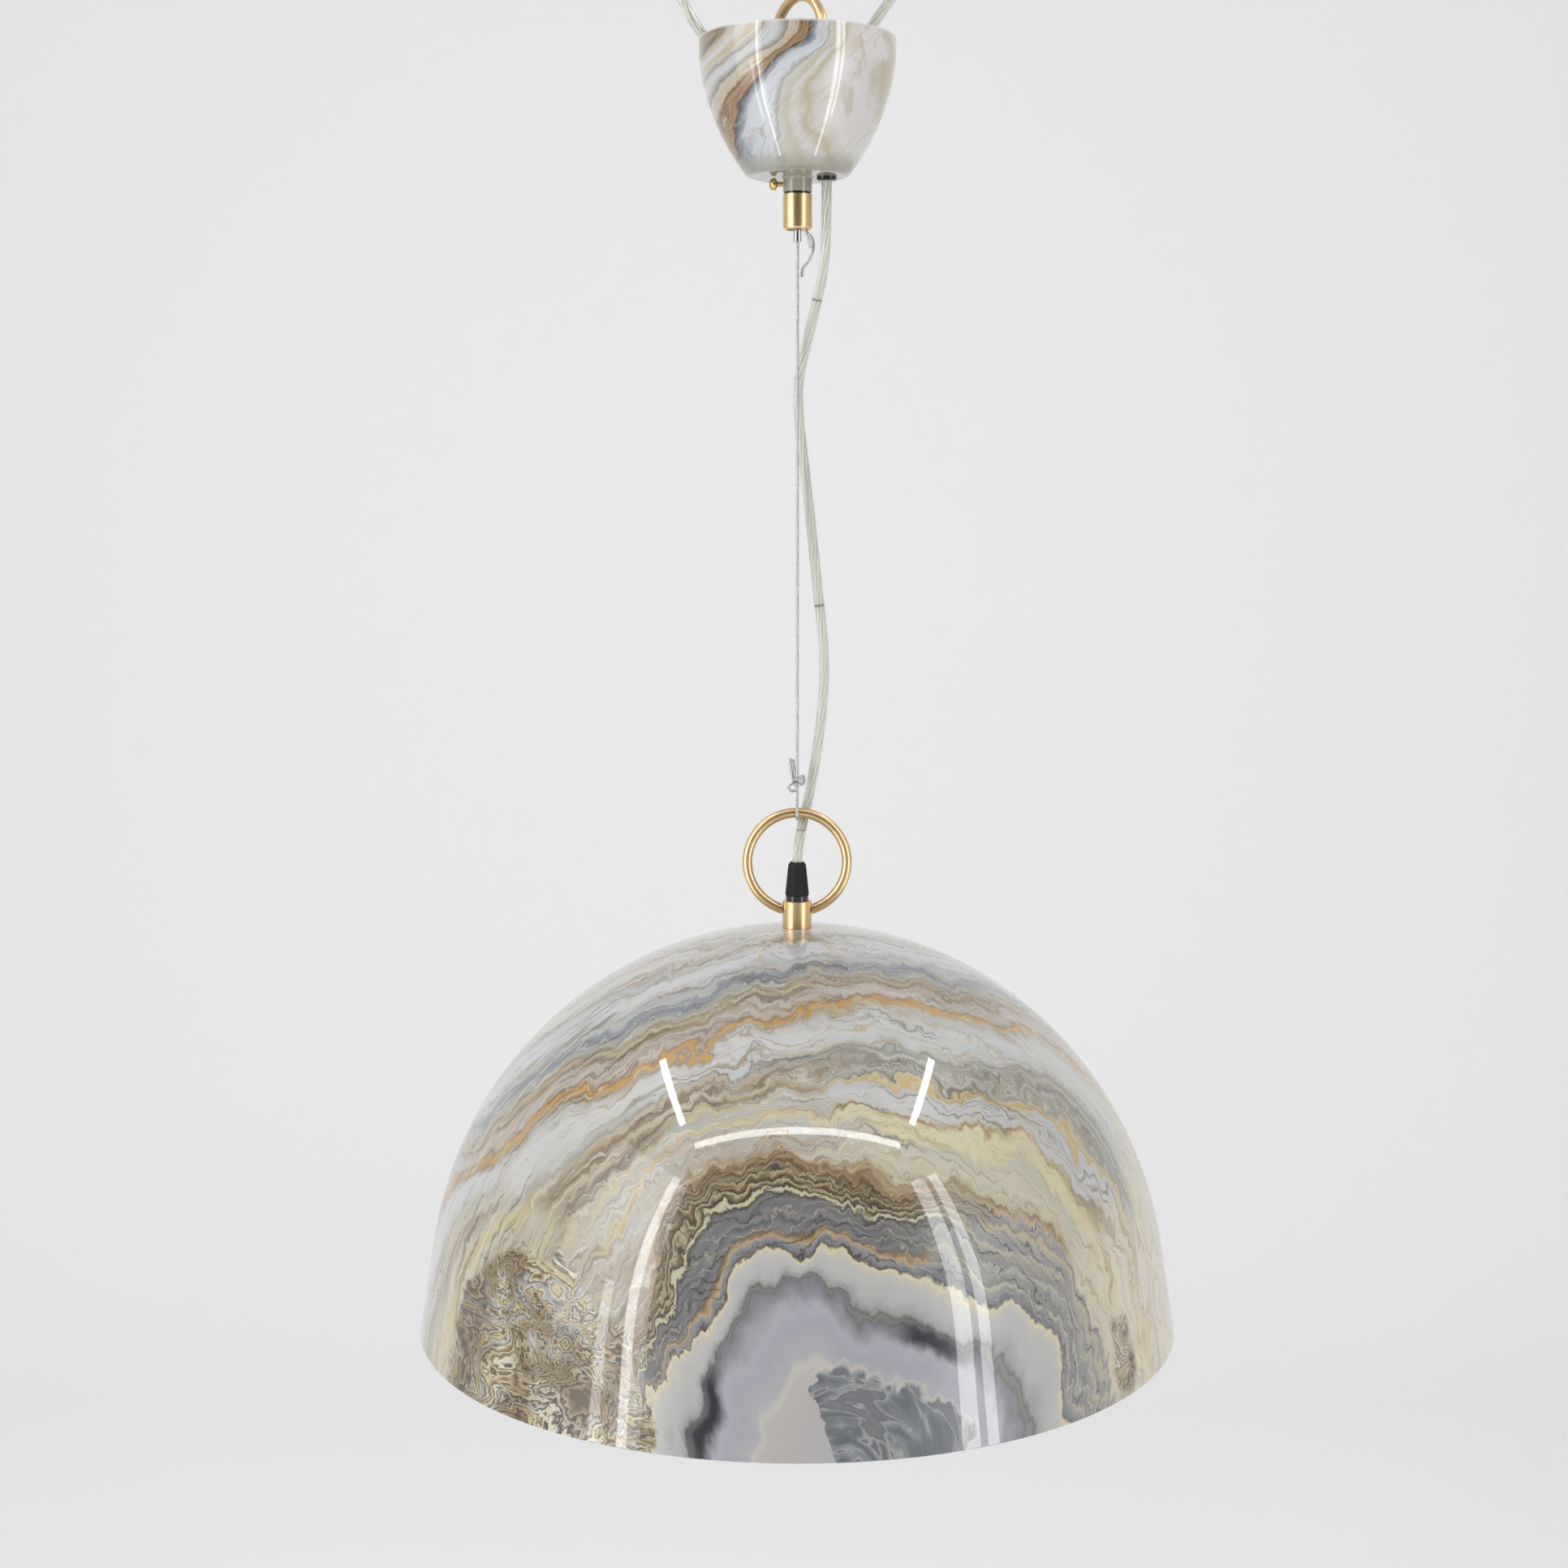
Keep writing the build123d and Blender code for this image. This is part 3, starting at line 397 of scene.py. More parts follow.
backdrop = make_backdrop()
paper, shader = new_material("stage_paper")
rays = ray_kinds(paper.node_tree)
looked_at = calc("MAXIMUM", calc("MAXIMUM", rays["Is Camera Ray"], rays["Is Glossy Ray"]),
                 rays["Is Transmission Ray"])
finish_with(shader, Base_Color=(0.80, 0.80, 0.80, 1.0), Roughness=0.9, Emission_Color=(1.0, 1.0, 1.0, 1.0),
            Emission_Strength=looked_at * PAPER_GLOW)
backdrop.data.materials.append(paper)
print("stage", [round(v, 2) for v in backdrop.dimensions])

# %% Lights
SHADE_MIDDLE = (0, 0, -0.55)
STRIP_AIM = (0, 0, -0.35)
PANEL_AIM = (0, 0, -0.45)
# Name, spot, aim, size and power in watts of each rectangle in front of the lamp.
FRONT_LIGHTS = [
    ("strip_left", (-1.30, -1.26, -0.25), STRIP_AIM, (0.23, 2.2), 5),
    ("strip_left_bright", (-1.28, -1.17, -0.25), STRIP_AIM, (0.09, 2.2), 4),
    ("strip_left_outer", (-1.49, -1.00, -0.75), STRIP_AIM, (0.10, 1.0), 1.3),
    ("panel_left", (-1.72, -0.84, 0.10), PANEL_AIM, (0.90, 1.7), 8),
    ("strip_right", (1.27, -1.20, -0.25), STRIP_AIM, (0.16, 2.2), 6.5),
    ("strip_right_outer", (1.42, -1.06, -0.25), STRIP_AIM, (0.11, 2.2), 4.5),
    ("bar_top", (0, -0.85, 0.95), SHADE_MIDDLE, (1.9, 0.07), 4)]


def area_light(name, spot, aim, size, power, along=(0, 0, 1)):
    """A rectangle that shines from a spot to an aim. Its second size lies along the given direction."""
    light = bpy.data.lights.new(name, "AREA")
    light.shape = "RECTANGLE"
    light.size, light.size_y = size
    light.energy = power
    lamp = add_object(name, light)
    back = (Vector(spot) - Vector(aim)).normalized()
    side = Vector(along).cross(back).normalized()
    turned = Matrix((side, back.cross(side), back)).transposed().to_4x4()
    lamp.matrix_world = Matrix.Translation(spot) @ turned
    lamp.visible_camera = False


for row in FRONT_LIGHTS:
    area_light(*row)
for side in (-1, 1):
    area_light("overhead", (side * 0.89, -0.145, 0.80), SHADE_MIDDLE, (0.05, 0.75), 2.4, along=(0, 1, 0))
    area_light("floor_strip", (side * 0.93, -0.90, FLOOR_Z + 0.02), (side * 0.93, -0.90, 0), (0.09, 1.0), 2,
               along=(side * 0.72, -0.69, 0))
print("lights", len(bpy.data.lights))

# %% [markdown]
# ## The room
# The world lights the lamp evenly. Gloss and metal also mirror the room behind the camera, which is dark, so
# glossy rays that leave through the tent's open front meet a darker colour. Past the backdrop's edges the
# camera sees the backdrop's own grey.

# %% World
WORLD_COLOUR = (0.80, 0.80, 0.82, 1.0)
ROOM_COLOUR = (0.10, 0.10, 0.10, 1.0)
SEEN_COLOUR = (1.30, 1.30, 1.31, 1.0)
WORLD_LEVEL = 0.60

world = bpy.data.worlds.new("studio")
world.use_nodes = True
bpy.context.scene.world = world
x, y, z = parts_of(Signal(grow(world.node_tree, "ShaderNodeTexCoord").outputs["Generated"]))
beside = abs(x) / calc("MAXIMUM", y * -1.0, 0.01)
open_front = smooth(beside, 1.25, 1.0) * smooth(z, 0.90, 0.84)
rays = ray_kinds(world.node_tree)
around = mixed(open_front * rays["Is Glossy Ray"], WORLD_COLOUR, ROOM_COLOUR)
background = world.node_tree.nodes["Background"]
finish_with(background, Color=mixed(rays["Is Camera Ray"], around, SEEN_COLOUR), Strength=WORLD_LEVEL)

# %% [markdown]
# ## Marble print
# The print on the real shade looks like sliced agate: pale core, a smoky vein, a thin cream line, dark
# laminated strata, then wide pale, ochre and slate bands, all bent round one point low on the front. So the
# material first measures each point's distance and direction from that point. Curves say how far out the
# vein, the cream line, the edge of the strata and the orange vein lie in each direction. Most of their
# corners are points picked on the photograph, which a small program turned into directions and distances.
# The others were set one by one. Colour ramps paint the zones between the curves. A picture could be
# projected instead, but nodes need no picture and stay sharp at any size.

# %% Curves of the marble
ARCH_CENTRE = (0.020, -0.198, -0.690)
REACH = 0.4
# Each curve holds (direction in degrees, distance in millimetres).
DARK_VEIN = [(-90, 68), (-76, 72), (-63, 70), (-55, 78), (-39, 78), (-31, 84), (-24, 90), (-9, 89), (-3, 81),
             (3, 75), (14, 72), (33, 74), (50, 80), (90, 86)]
CREAM_LINE = [(-90, 90), (-60, 93), (-42, 92), (-33, 99), (-28, 106), (-20, 107), (-12, 100), (0, 97),
              (11, 94), (21, 99), (36, 98), (46, 102), (55, 114), (61, 118), (75, 117), (90, 121)]
STRATA_EDGE = [(-90, 96), (-69, 102), (-50, 120), (-41, 131), (-33, 147), (-24, 155), (-19, 154), (-10, 146),
               (2, 135), (11, 130), (22, 137), (35, 139), (52, 148), (66, 149), (90, 148)]
ORANGE_VEIN = [(-90, 300), (-65, 272), (-57, 245), (-49, 230), (-38, 221), (-29, 212), (-12, 215), (3, 226),
               (15, 233), (23, 237), (29, 250), (36, 260), (50, 255), (65, 240), (90, 235)]
DARK_PATCH = [(-90, 0), (-24, 0), (-16, 44), (-5, 50), (10, 49), (30, 48), (52, 54), (80, 64), (90, 50)]


def float_curve(value, corners):
    """A smooth curve through corners, whose two axes run from 0 to 1."""
    curve = put("FloatCurve", {"Value": value})
    mapping = curve.socket.node.mapping
    points = mapping.curves[0].points
    while len(points) < len(corners):
        points.new(0.5, 0.5)
    for point, corner in zip(points, corners):
        point.location = corner
    mapping.update()
    return curve


def curve_of(direction, corners):
    """The distance in metres that a curve's corners give for a direction from 0 to 1."""
    corners = [(degrees / 180 + 0.5, millimetres * MM / REACH) for degrees, millimetres in corners]
    return float_curve(direction, corners) * REACH


# %% [markdown]
# ## Colours of the marble
# A zone's ramp runs from its inner edge at 0 to its outer edge at 1000. The ramps of slate, flow veins and
# broken stone colour noise instead. The stops were chosen with the help of mean colours measured at small
# spots of the photograph, and changed after comparing renders with it. A dark stop close to a pale one makes
# a crisp line, and far stops blend softly.

# %% Ramps of the core and the strata
INNER_CORE = [
    (0, 400, 390, 400), (400, 420, 400, 390), (560, 440, 420, 400), (600, 500, 480, 430),
    (640, 390, 380, 390), (780, 350, 350, 390), (860, 380, 380, 410), (940, 300, 300, 330),
    (1000, 220, 220, 240)]
OUTER_CORE = [
    (0, 170, 165, 160), (100, 240, 235, 220), (160, 150, 145, 140), (260, 320, 315, 300),
    (500, 420, 420, 410), (800, 460, 455, 430), (920, 520, 490, 400), (970, 620, 560, 380),
    (1000, 580, 500, 320)]
SLATE = [
    (300, 90, 100, 120), (450, 140, 150, 160), (520, 220, 230, 240), (560, 340, 340, 330),
    (575, 150, 160, 170), (700, 190, 195, 200)]
STRATA = [
    (0, 550, 480, 300), (25, 100, 90, 80), (60, 200, 200, 210), (120, 250, 245, 250), (150, 420, 330, 190),
    (180, 300, 190, 90), (220, 140, 120, 100), (260, 200, 195, 200), (330, 110, 110, 115),
    (360, 220, 210, 205), (420, 150, 148, 150), (500, 180, 175, 170), (550, 70, 65, 60),
    (575, 500, 470, 320), (605, 460, 420, 270), (620, 30, 25, 20), (660, 220, 180, 100),
    (690, 420, 360, 220), (710, 40, 30, 22), (760, 200, 130, 60), (790, 360, 300, 170), (810, 45, 34, 26),
    (850, 260, 200, 110), (890, 100, 65, 35), (930, 300, 200, 100), (970, 200, 130, 70),
    (1000, 340, 260, 170)]
RIGHT_STRATA = [
    (0, 550, 520, 360), (30, 150, 150, 155), (120, 220, 220, 230), (200, 300, 300, 290),
    (240, 450, 420, 310), (270, 220, 215, 200), (400, 280, 280, 270), (460, 400, 400, 340),
    (500, 230, 230, 220), (600, 310, 300, 270), (660, 440, 410, 300), (700, 260, 260, 270),
    (820, 360, 350, 300), (860, 480, 400, 240), (900, 250, 240, 240), (1000, 380, 360, 320)]

# %% Ramps of the middle bands
LEFT_MIDDLE = [
    (0, 300, 210, 120), (50, 380, 330, 260), (160, 400, 380, 330), (240, 400, 390, 360),
    (280, 500, 380, 190), (310, 420, 400, 330), (380, 360, 360, 330), (420, 470, 420, 270),
    (470, 300, 250, 180), (500, 120, 90, 60), (530, 330, 260, 170), (560, 480, 430, 310),
    (590, 200, 140, 80), (630, 260, 200, 140), (660, 400, 350, 250), (690, 340, 330, 290),
    (750, 500, 510, 490), (860, 550, 550, 535), (920, 470, 460, 430), (955, 360, 300, 220),
    (985, 440, 310, 150), (1000, 540, 290, 60)]
FAR_LEFT_MIDDLE = [
    (0, 220, 160, 100), (60, 290, 260, 210), (260, 340, 310, 240), (440, 360, 330, 250),
    (500, 460, 410, 260), (560, 420, 400, 330), (620, 500, 470, 350), (660, 520, 440, 250),
    (700, 440, 420, 360), (740, 300, 260, 190), (770, 470, 450, 380), (820, 400, 390, 340),
    (860, 520, 530, 510), (930, 530, 540, 530), (970, 280, 190, 100), (1000, 460, 260, 70)]
RIGHT_MIDDLE = [
    (0, 420, 320, 180), (30, 260, 190, 110), (50, 470, 430, 310), (120, 500, 480, 370),
    (190, 460, 450, 370), (230, 600, 530, 330), (290, 600, 540, 360), (325, 400, 290, 140),
    (350, 500, 480, 430), (420, 500, 500, 500), (480, 450, 450, 440), (500, 520, 360, 130),
    (525, 500, 430, 270), (550, 270, 270, 240), (590, 370, 370, 320), (620, 220, 220, 200),
    (660, 390, 380, 330), (700, 250, 260, 245), (730, 430, 420, 370), (780, 500, 510, 490),
    (880, 550, 560, 550), (950, 460, 450, 420), (985, 440, 330, 180), (1000, 550, 300, 60)]
# Right of the arch the bands stand upright and turn cream and ochre.
RIGHT_FLOWS = [
    (0, 360, 350, 300), (100, 480, 440, 330), (200, 620, 540, 340), (320, 540, 530, 480),
    (420, 640, 580, 390), (500, 520, 410, 230), (580, 580, 580, 560), (700, 640, 580, 410),
    (800, 580, 520, 360), (900, 500, 450, 320), (1000, 520, 380, 200)]
FLOW_VEINS = [
    (280, 440, 400, 320), (360, 620, 520, 320), (420, 660, 650, 600), (480, 720, 620, 400),
    (530, 600, 540, 410), (580, 680, 660, 580), (620, 520, 370, 160), (645, 220, 150, 80),
    (670, 500, 440, 300)]

# %% Ramps of the outer bands and the broken stone
OUTER = [
    (0, 540, 290, 50), (6, 440, 270, 100), (11, 240, 170, 100), (17, 400, 340, 270), (30, 450, 400, 350),
    (55, 400, 350, 290), (65, 200, 150, 90), (80, 420, 340, 220), (92, 240, 190, 120), (105, 380, 370, 300),
    (120, 280, 290, 280), (130, 190, 200, 220), (150, 240, 260, 290), (162, 420, 430, 400),
    (180, 360, 370, 370), (205, 530, 540, 560), (250, 540, 550, 570), (275, 420, 430, 400),
    (290, 300, 290, 250), (305, 460, 440, 360), (345, 530, 530, 490), (370, 420, 390, 300),
    (395, 470, 460, 400), (440, 500, 490, 450), (470, 360, 340, 270), (500, 460, 440, 370),
    (560, 520, 520, 500), (600, 280, 250, 190), (615, 480, 380, 220), (680, 500, 500, 490),
    (720, 280, 290, 310), (760, 460, 450, 400)]
BRECCIA = [
    (290, 200, 180, 150), (335, 540, 490, 360), (343, 70, 55, 35), (362, 300, 270, 220),
    (374, 560, 510, 390), (385, 170, 150, 120), (395, 50, 40, 30), (406, 640, 600, 480),
    (418, 580, 520, 370), (425, 100, 70, 40), (438, 400, 320, 180), (452, 560, 500, 330), (459, 40, 30, 20),
    (472, 240, 170, 90), (485, 420, 350, 220), (492, 640, 590, 450), (500, 50, 38, 25),
    (511, 280, 270, 240), (528, 380, 370, 350), (535, 620, 570, 430), (543, 140, 100, 50),
    (556, 500, 440, 270), (570, 340, 260, 140), (578, 40, 30, 20), (588, 620, 580, 460),
    (602, 240, 210, 160), (614, 50, 40, 30), (626, 520, 460, 320), (642, 270, 220, 150), (655, 60, 50, 35),
    (668, 480, 430, 310), (690, 200, 170, 120)]

# %% [markdown]
# ## Folding the bands
# Plain rings round a point would look drawn with compasses. Noise that is stretched along the bands pushes
# them in and out in waves, zigzags and crinkles before any colour is read. The folds are strongest near the
# centre and straight above it, and weaker far out at the sides.

# %% Noise along the bands
def centred(noise, height):
    """Noise about zero, scaled to a height."""
    return (noise - 0.5) * height


def long_grain(along, across, depth, sizes, **settings):
    """Noise whose grains have these sizes in metres along, across and behind a band."""
    parts = [value / size for value, size in zip((along, across, depth), sizes)]
    return grain(put("CombineXYZ", dict(enumerate(parts))), 1.0, **settings)


def fine_lines(value, width):
    """1 on thin lines where the value passes whole numbers, 0 between them."""
    return smooth(calc("PINGPONG", value, 0.5), width, 0.0)


# %% Folded distance from the arch's centre
marble_shade, shader = new_material("marble_shade")
place = object_place(shader)
x, y, z = parts_of(place)
turn = calc("ARCTAN2", x - ARCH_CENTRE[0], z - ARCH_CENTRE[2])
distance = vector_calc("DISTANCE", place, ARCH_CENTRE)
# On the back all directions run together, so lengths shrink there as they do on the sphere.
behind = smooth(y, -0.02, 0.10)
flat = distance / REACH
shrink = calc("SQRT", calc("SUBTRACT", 1.0, flat ** 2.0, clamp=True))
shrink = scaled(behind, shrink - 1.0, 1.0)
arc = turn * distance * shrink

wave = centred(long_grain(arc, distance, y, (0.045, 0.080, 0.120), detail=3), 0.022)
fold = centred(long_grain(arc, distance, y, (0.020, 0.034, 0.050), detail=5, roughness=0.60), 0.020)
pinch = centred(grain(place, 75.0, detail=4, roughness=0.6), 0.011)
sway = centred(grain(place, 24.0, detail=2), 5.0)
saw = calc("PINGPONG", arc / 0.013 + sway, 0.5)
zigzag = (saw - 0.25) * smooth(grain(place, 15.0, detail=1), 0.44, 0.60) * 0.006
crinkle = centred(long_grain(arc, distance, y, (0.0035, 0.007, 0.010), detail=3), 0.0028)
lively = smooth(turn, radians(-38), radians(-10)) * smooth(turn, radians(62), radians(30))
lively = calc("MAXIMUM", lively, smooth(distance, 0.20, 0.15))
folds = ((fold + zigzag) + (crinkle + pinch)) * scaled(lively, 0.55, 0.45)
shift = (wave + folds) * scaled(smooth(distance, 0.03, 0.09), 0.7, 0.3)
tumble = centred(grain(place, 21.0, detail=3, roughness=0.55, distortion=0.6), 0.055)
tumbled = (tumble * smooth(distance, 0.155, 0.185) * smooth(distance, 0.235, 0.205)
           * smooth(turn, radians(-35), radians(-18)))
moved = distance + (shift + tumbled)

# %% How far across its zone each point lies
BACK_ORANGE = 0.24
OUTER_WIDTH = 0.2
lean = centred(grain(place, 30.0, detail=3), 0.05)
direction = scaled(turn, 1 / pi, 0.5) + lean
vein, cream, edge, orange = [
    curve_of(direction, corners) for corners in (DARK_VEIN, CREAM_LINE, STRATA_EDGE, ORANGE_VEIN)]
orange = scaled(behind, BACK_ORANGE - orange, orange)
inner = calc("DIVIDE", moved, vein, clamp=True)
outer_core = stage_of(moved, vein, cream)
strata = stage_of(moved, cream, edge)
middle = stage_of(moved, edge, orange)
outer = calc("DIVIDE", moved - orange, OUTER_WIDTH, clamp=True)
strata_zone = (moved > cream) * (moved < edge)

# %% [markdown]
# ## Painting the agate
# The colours go on from the inside out, each zone over the last one. The smoky vein thickens to blots at the
# left and at the right, and a slate patch with a cream rim lies low in the core.

# %% Core with its smoky vein and slate patch
SMOKE = (0.018, 0.020, 0.026, 1)
RIM_CREAM = (0.52, 0.49, 0.42, 1)
colour = mixed(moved > vein, ramp(inner, INNER_CORE), ramp(outer_core, OUTER_CORE))
smoke = smooth(abs((moved - vein) + 0.002), 0.009, 0.001)
blots = calc("MAXIMUM", smooth(turn, radians(-46), radians(-58)),
             smooth(turn, radians(16), radians(30)) * smooth(turn, radians(56), radians(40)))
colour = mixed(smoke * scaled(blots, 0.82, 0.16), colour, SMOKE)
patch_lean = centred(grain(place, 70.0, detail=4), 0.26)
patch_depth = curve_of(direction + patch_lean, DARK_PATCH) - (distance + folds * 1.2)
cloud = long_grain(arc, distance, y, (0.03, 0.012, 0.05), detail=5, distortion=0.8)
colour = mixed(smooth(patch_depth, -0.0005, 0.0025), colour, ramp(cloud, SLATE))
rim = smooth(abs(patch_depth + 0.0015), 0.0018, 0.0)
colour = mixed(rim * 0.6, colour, RIM_CREAM)

# %% Strata, middle and outer bands
def turned_past(width, start, end):
    """0 to 1 between two directions in degrees, with a ragged edge of a width in radians."""
    return smooth(turn + centred(grain(place, 20.0), width), radians(start), radians(end))


leftness = turned_past(1.2, 2, -14)
far_left = turned_past(0.8, -46, -58)
rightness = turned_past(1.0, 20, 34)
upright = turned_past(0.8, 48, 62)
strata_colour = mixed(rightness, ramp(strata, STRATA), ramp(strata, RIGHT_STRATA))
middle_colour = mixed(leftness, ramp(middle, RIGHT_MIDDLE), ramp(middle, LEFT_MIDDLE))
middle_colour = mixed(far_left, middle_colour, ramp(middle, FAR_LEFT_MIDDLE))
flow = long_grain((x + y) + tumble, z, y, (0.013, 0.070, 0.070), detail=5, roughness=0.62)
flow_colour = mixed(0.45, ramp(flow, FLOW_VEINS), ramp(middle, RIGHT_FLOWS))
middle_colour = mixed(upright, middle_colour, flow_colour)
colour = mixed(moved > cream, colour, strata_colour)
colour = mixed(moved > edge, colour, middle_colour)
colour = mixed(moved > orange, colour, ramp(outer, OUTER))

# %% Broken stone low on the left, and a knot low on the right
HEAP_CENTRE = (-0.128, -0.148, -0.671)
KNOT_CENTRE = (0.158, -0.117, -0.664)
KNOT_FLATTENING = (1.0, 1.0, 0.45)
SHADOW_TINT = (0.58, 0.50, 0.40, 1)
heap = vector_calc("DISTANCE", place, HEAP_CENTRE) + centred(grain(place, 38.0, detail=5), 0.034)
chips = long_grain(x, z, y, (0.034, 0.030, 0.100), detail=5, roughness=0.52, distortion=0.6)
chips_colour = mixed(smooth(grain(place, 40.0, detail=2), 0.42, 0.60), ramp(chips, BRECCIA), SHADOW_TINT,
                     blend="MULTIPLY")
heap_share = smooth(heap, 0.070, 0.066)
colour = mixed(heap_share, colour, chips_colour)
knot = vector_calc("MULTIPLY", vector_calc("SUBTRACT", place, KNOT_CENTRE), KNOT_FLATTENING)
knot = vector_calc("LENGTH", knot) + centred(grain(place, 60.0, detail=4), 0.018)
colour = mixed(smooth(knot, 0.012, 0.006), colour, chips_colour)

# %% [markdown]
# ## Laminae
# Stone bands are full of hairlines. A zigzag wave along the folded distance gives parallel lines, and slow
# noise shows them here and there, so that dark, cream and tan threads follow the folds.

# %% Thin dark, cream and tan lines along the folded bands
bend = centred(long_grain(arc, distance, y, (0.060, 0.020, 0.060), detail=4), 5.0)
here = long_grain(arc, moved, y, (0.030, 0.006, 0.050), detail=3)
there = long_grain(arc, moved, y, (0.130, 0.010, 0.130), detail=2)
outside = (moved > edge) * (1.0 - heap_share)
streaks = long_grain(arc, moved, y, (0.070, 0.0024, 0.070), detail=3, roughness=0.6)
gathered = long_grain(arc, moved, y, (0.120, 0.018, 0.120), detail=2)
dark_streaks = (smooth(streaks, 0.48, 0.38) * smooth(gathered, 0.42, 0.54) * outside
                * scaled(upright, -0.35, 0.85))
pale_streaks = smooth(streaks, 0.53, 0.63) * smooth(gathered, 0.58, 0.44) * outside * 0.50
close_lines = moved / 0.0042 + bend
wide_lines = moved / 0.0062 + bend
dark_close = fine_lines(close_lines, 0.17) * smooth(here, 0.44, 0.56) * strata_zone * 0.8
pale_close = fine_lines(close_lines + 0.30, 0.12) * smooth(here, 0.56, 0.46) * strata_zone * 0.6
dark_wide = (fine_lines(wide_lines, 0.13) * smooth(there, 0.44, 0.60) * outside
             * scaled(upright, -0.32, 0.48))
pale_wide = fine_lines(wide_lines + 0.22, 0.09) * smooth(there, 0.60, 0.42) * outside * 0.60
tan_wide = fine_lines(wide_lines * 0.55 + 0.3, 0.14) * smooth(there, 0.40, 0.52) * outside * 0.50
colour = mixed(dark_streaks, colour, (0.48, 0.43, 0.35, 1), blend="MULTIPLY")
for share, line_colour in (
        (pale_streaks, (0.62, 0.58, 0.46, 1)), (dark_close, (0.045, 0.034, 0.026, 1)),
        (pale_close, (0.46, 0.41, 0.27, 1)), (tan_wide, (0.44, 0.33, 0.17, 1)),
        (dark_wide, (0.20, 0.165, 0.12, 1)), (pale_wide, (0.60, 0.56, 0.46, 1))):
    colour = mixed(share, colour, line_colour)

# %% [markdown]
# ## White inside
# Shade and canopy are printed outside and plain white inside. Each is one CAD solid, so a mask finds the
# inner face by its depth under the profile that the CAD model gives the outer face.

# %% White inside the dome
WHITE_ENAMEL = (0.72, 0.72, 0.70, 1)
SPHERE_CENTRE, SPHERE_RADIUS = (0, 0, -0.66785), 0.1952
RIM_Z, RIM_RADIUS, SKIRT_SLOPE, SKIRT_TOP_Z = -0.683, 0.2, -0.1494, -0.639
CLEAR_COAT = {"Roughness": 0.35, "Coat_Weight": 1.0, "Coat_Roughness": 0.02}


def off_axis(x, y):
    return calc("SQRT", x ** 2.0 + y ** 2.0)


under_sphere = smooth(vector_calc("DISTANCE", place, SPHERE_CENTRE) - SPHERE_RADIUS, -0.4 * MM, -0.6 * MM)
skirt = scaled(z + -RIM_Z, SKIRT_SLOPE, RIM_RADIUS)
under_skirt = smooth(off_axis(x, y) - skirt, -0.4 * MM, -0.6 * MM)
inside_dome = (z > SKIRT_TOP_Z) * under_sphere + (z < SKIRT_TOP_Z) * under_skirt
finish_with(shader, Base_Color=mixed(inside_dome, colour, WHITE_ENAMEL), **CLEAR_COAT)
print("marble nodes", len(marble_shade.node_tree.nodes))

# %% [markdown]
# ## Canopy print
# On the canopy the bands run diagonally, from the foot at the left up to the rim at the right. A curve
# gives the brown band's place at each height, and the other bands keep their distance from it.

# %% Curve and colours of the canopy's bands
# Height in millimetres, then the brown band's X there.
BROWN_BAND = [(-94, -36), (-80, -36), (-73, -35), (-63, -34), (-53, -30), (-45, -23), (-35, -10), (-27, 1.8),
              (-18.7, 3.7)]
BAND_LOW, BAND_HEIGHT, BAND_LEFT, BAND_WIDTH = -94.0, 80.0, -40.0, 60.0
# Millimetres beside the brown band, then linear colour in thousandths.
CANOPY_BANDS = [
    (-50, 300, 240, 160), (-42, 160, 110, 70), (-38, 460, 420, 330), (-31, 560, 560, 530),
    (-26, 480, 400, 260), (-24, 520, 500, 420), (-20, 300, 290, 270), (-18, 500, 510, 500),
    (-13, 540, 560, 560), (-8.5, 260, 210, 150), (-7.5, 480, 460, 400), (-3.4, 500, 400, 270),
    (-2.5, 140, 75, 35), (-1.6, 360, 215, 110), (-0.6, 240, 140, 70), (0.4, 380, 240, 135),
    (1.4, 70, 42, 30), (2.2, 130, 140, 165), (3.8, 270, 290, 325), (5.5, 530, 550, 590),
    (10.5, 570, 590, 620), (11.8, 330, 330, 320), (12.8, 530, 530, 490), (15.5, 480, 450, 360),
    (17.5, 600, 590, 570), (20.5, 440, 390, 260), (22, 560, 530, 460), (27, 660, 640, 620),
    (36, 640, 620, 600), (40, 470, 430, 320), (45, 580, 590, 600), (56, 500, 430, 290)]

# %% Place beside the brown band
marble_canopy, shader = new_material("marble_canopy")
place = object_place(shader)
x, y, z = parts_of(place)
band = float_curve((z - BAND_LOW * MM) / (BAND_HEIGHT * MM), [
    ((level - BAND_LOW) / BAND_HEIGHT, (across - BAND_LEFT) / BAND_WIDTH) for level, across in BROWN_BAND])
band_x = scaled(band, BAND_WIDTH * MM, BAND_LEFT * MM)
spread = scaled(calc("MAXIMUM", -22 * MM - z, 0.0), 24.0, 1.0)
beside = (x - band_x) / spread
along, across = x + z, x - z
drift = centred(long_grain(along, across, y, (0.030, 0.016, 0.030), detail=4), 0.010)
ripple = centred(long_grain(along, across, y, (0.007, 0.004, 0.010), detail=3), 0.0022)
beside = beside + (drift + ripple)
beside = beside + (y + 5 * MM) * (smooth(y, -5 * MM, 15 * MM) * 0.5)
low, high = CANOPY_BANDS[0][0], CANOPY_BANDS[-1][0]
colour = ramp(stage_of(beside, low * MM, high * MM), CANOPY_BANDS, low, high)
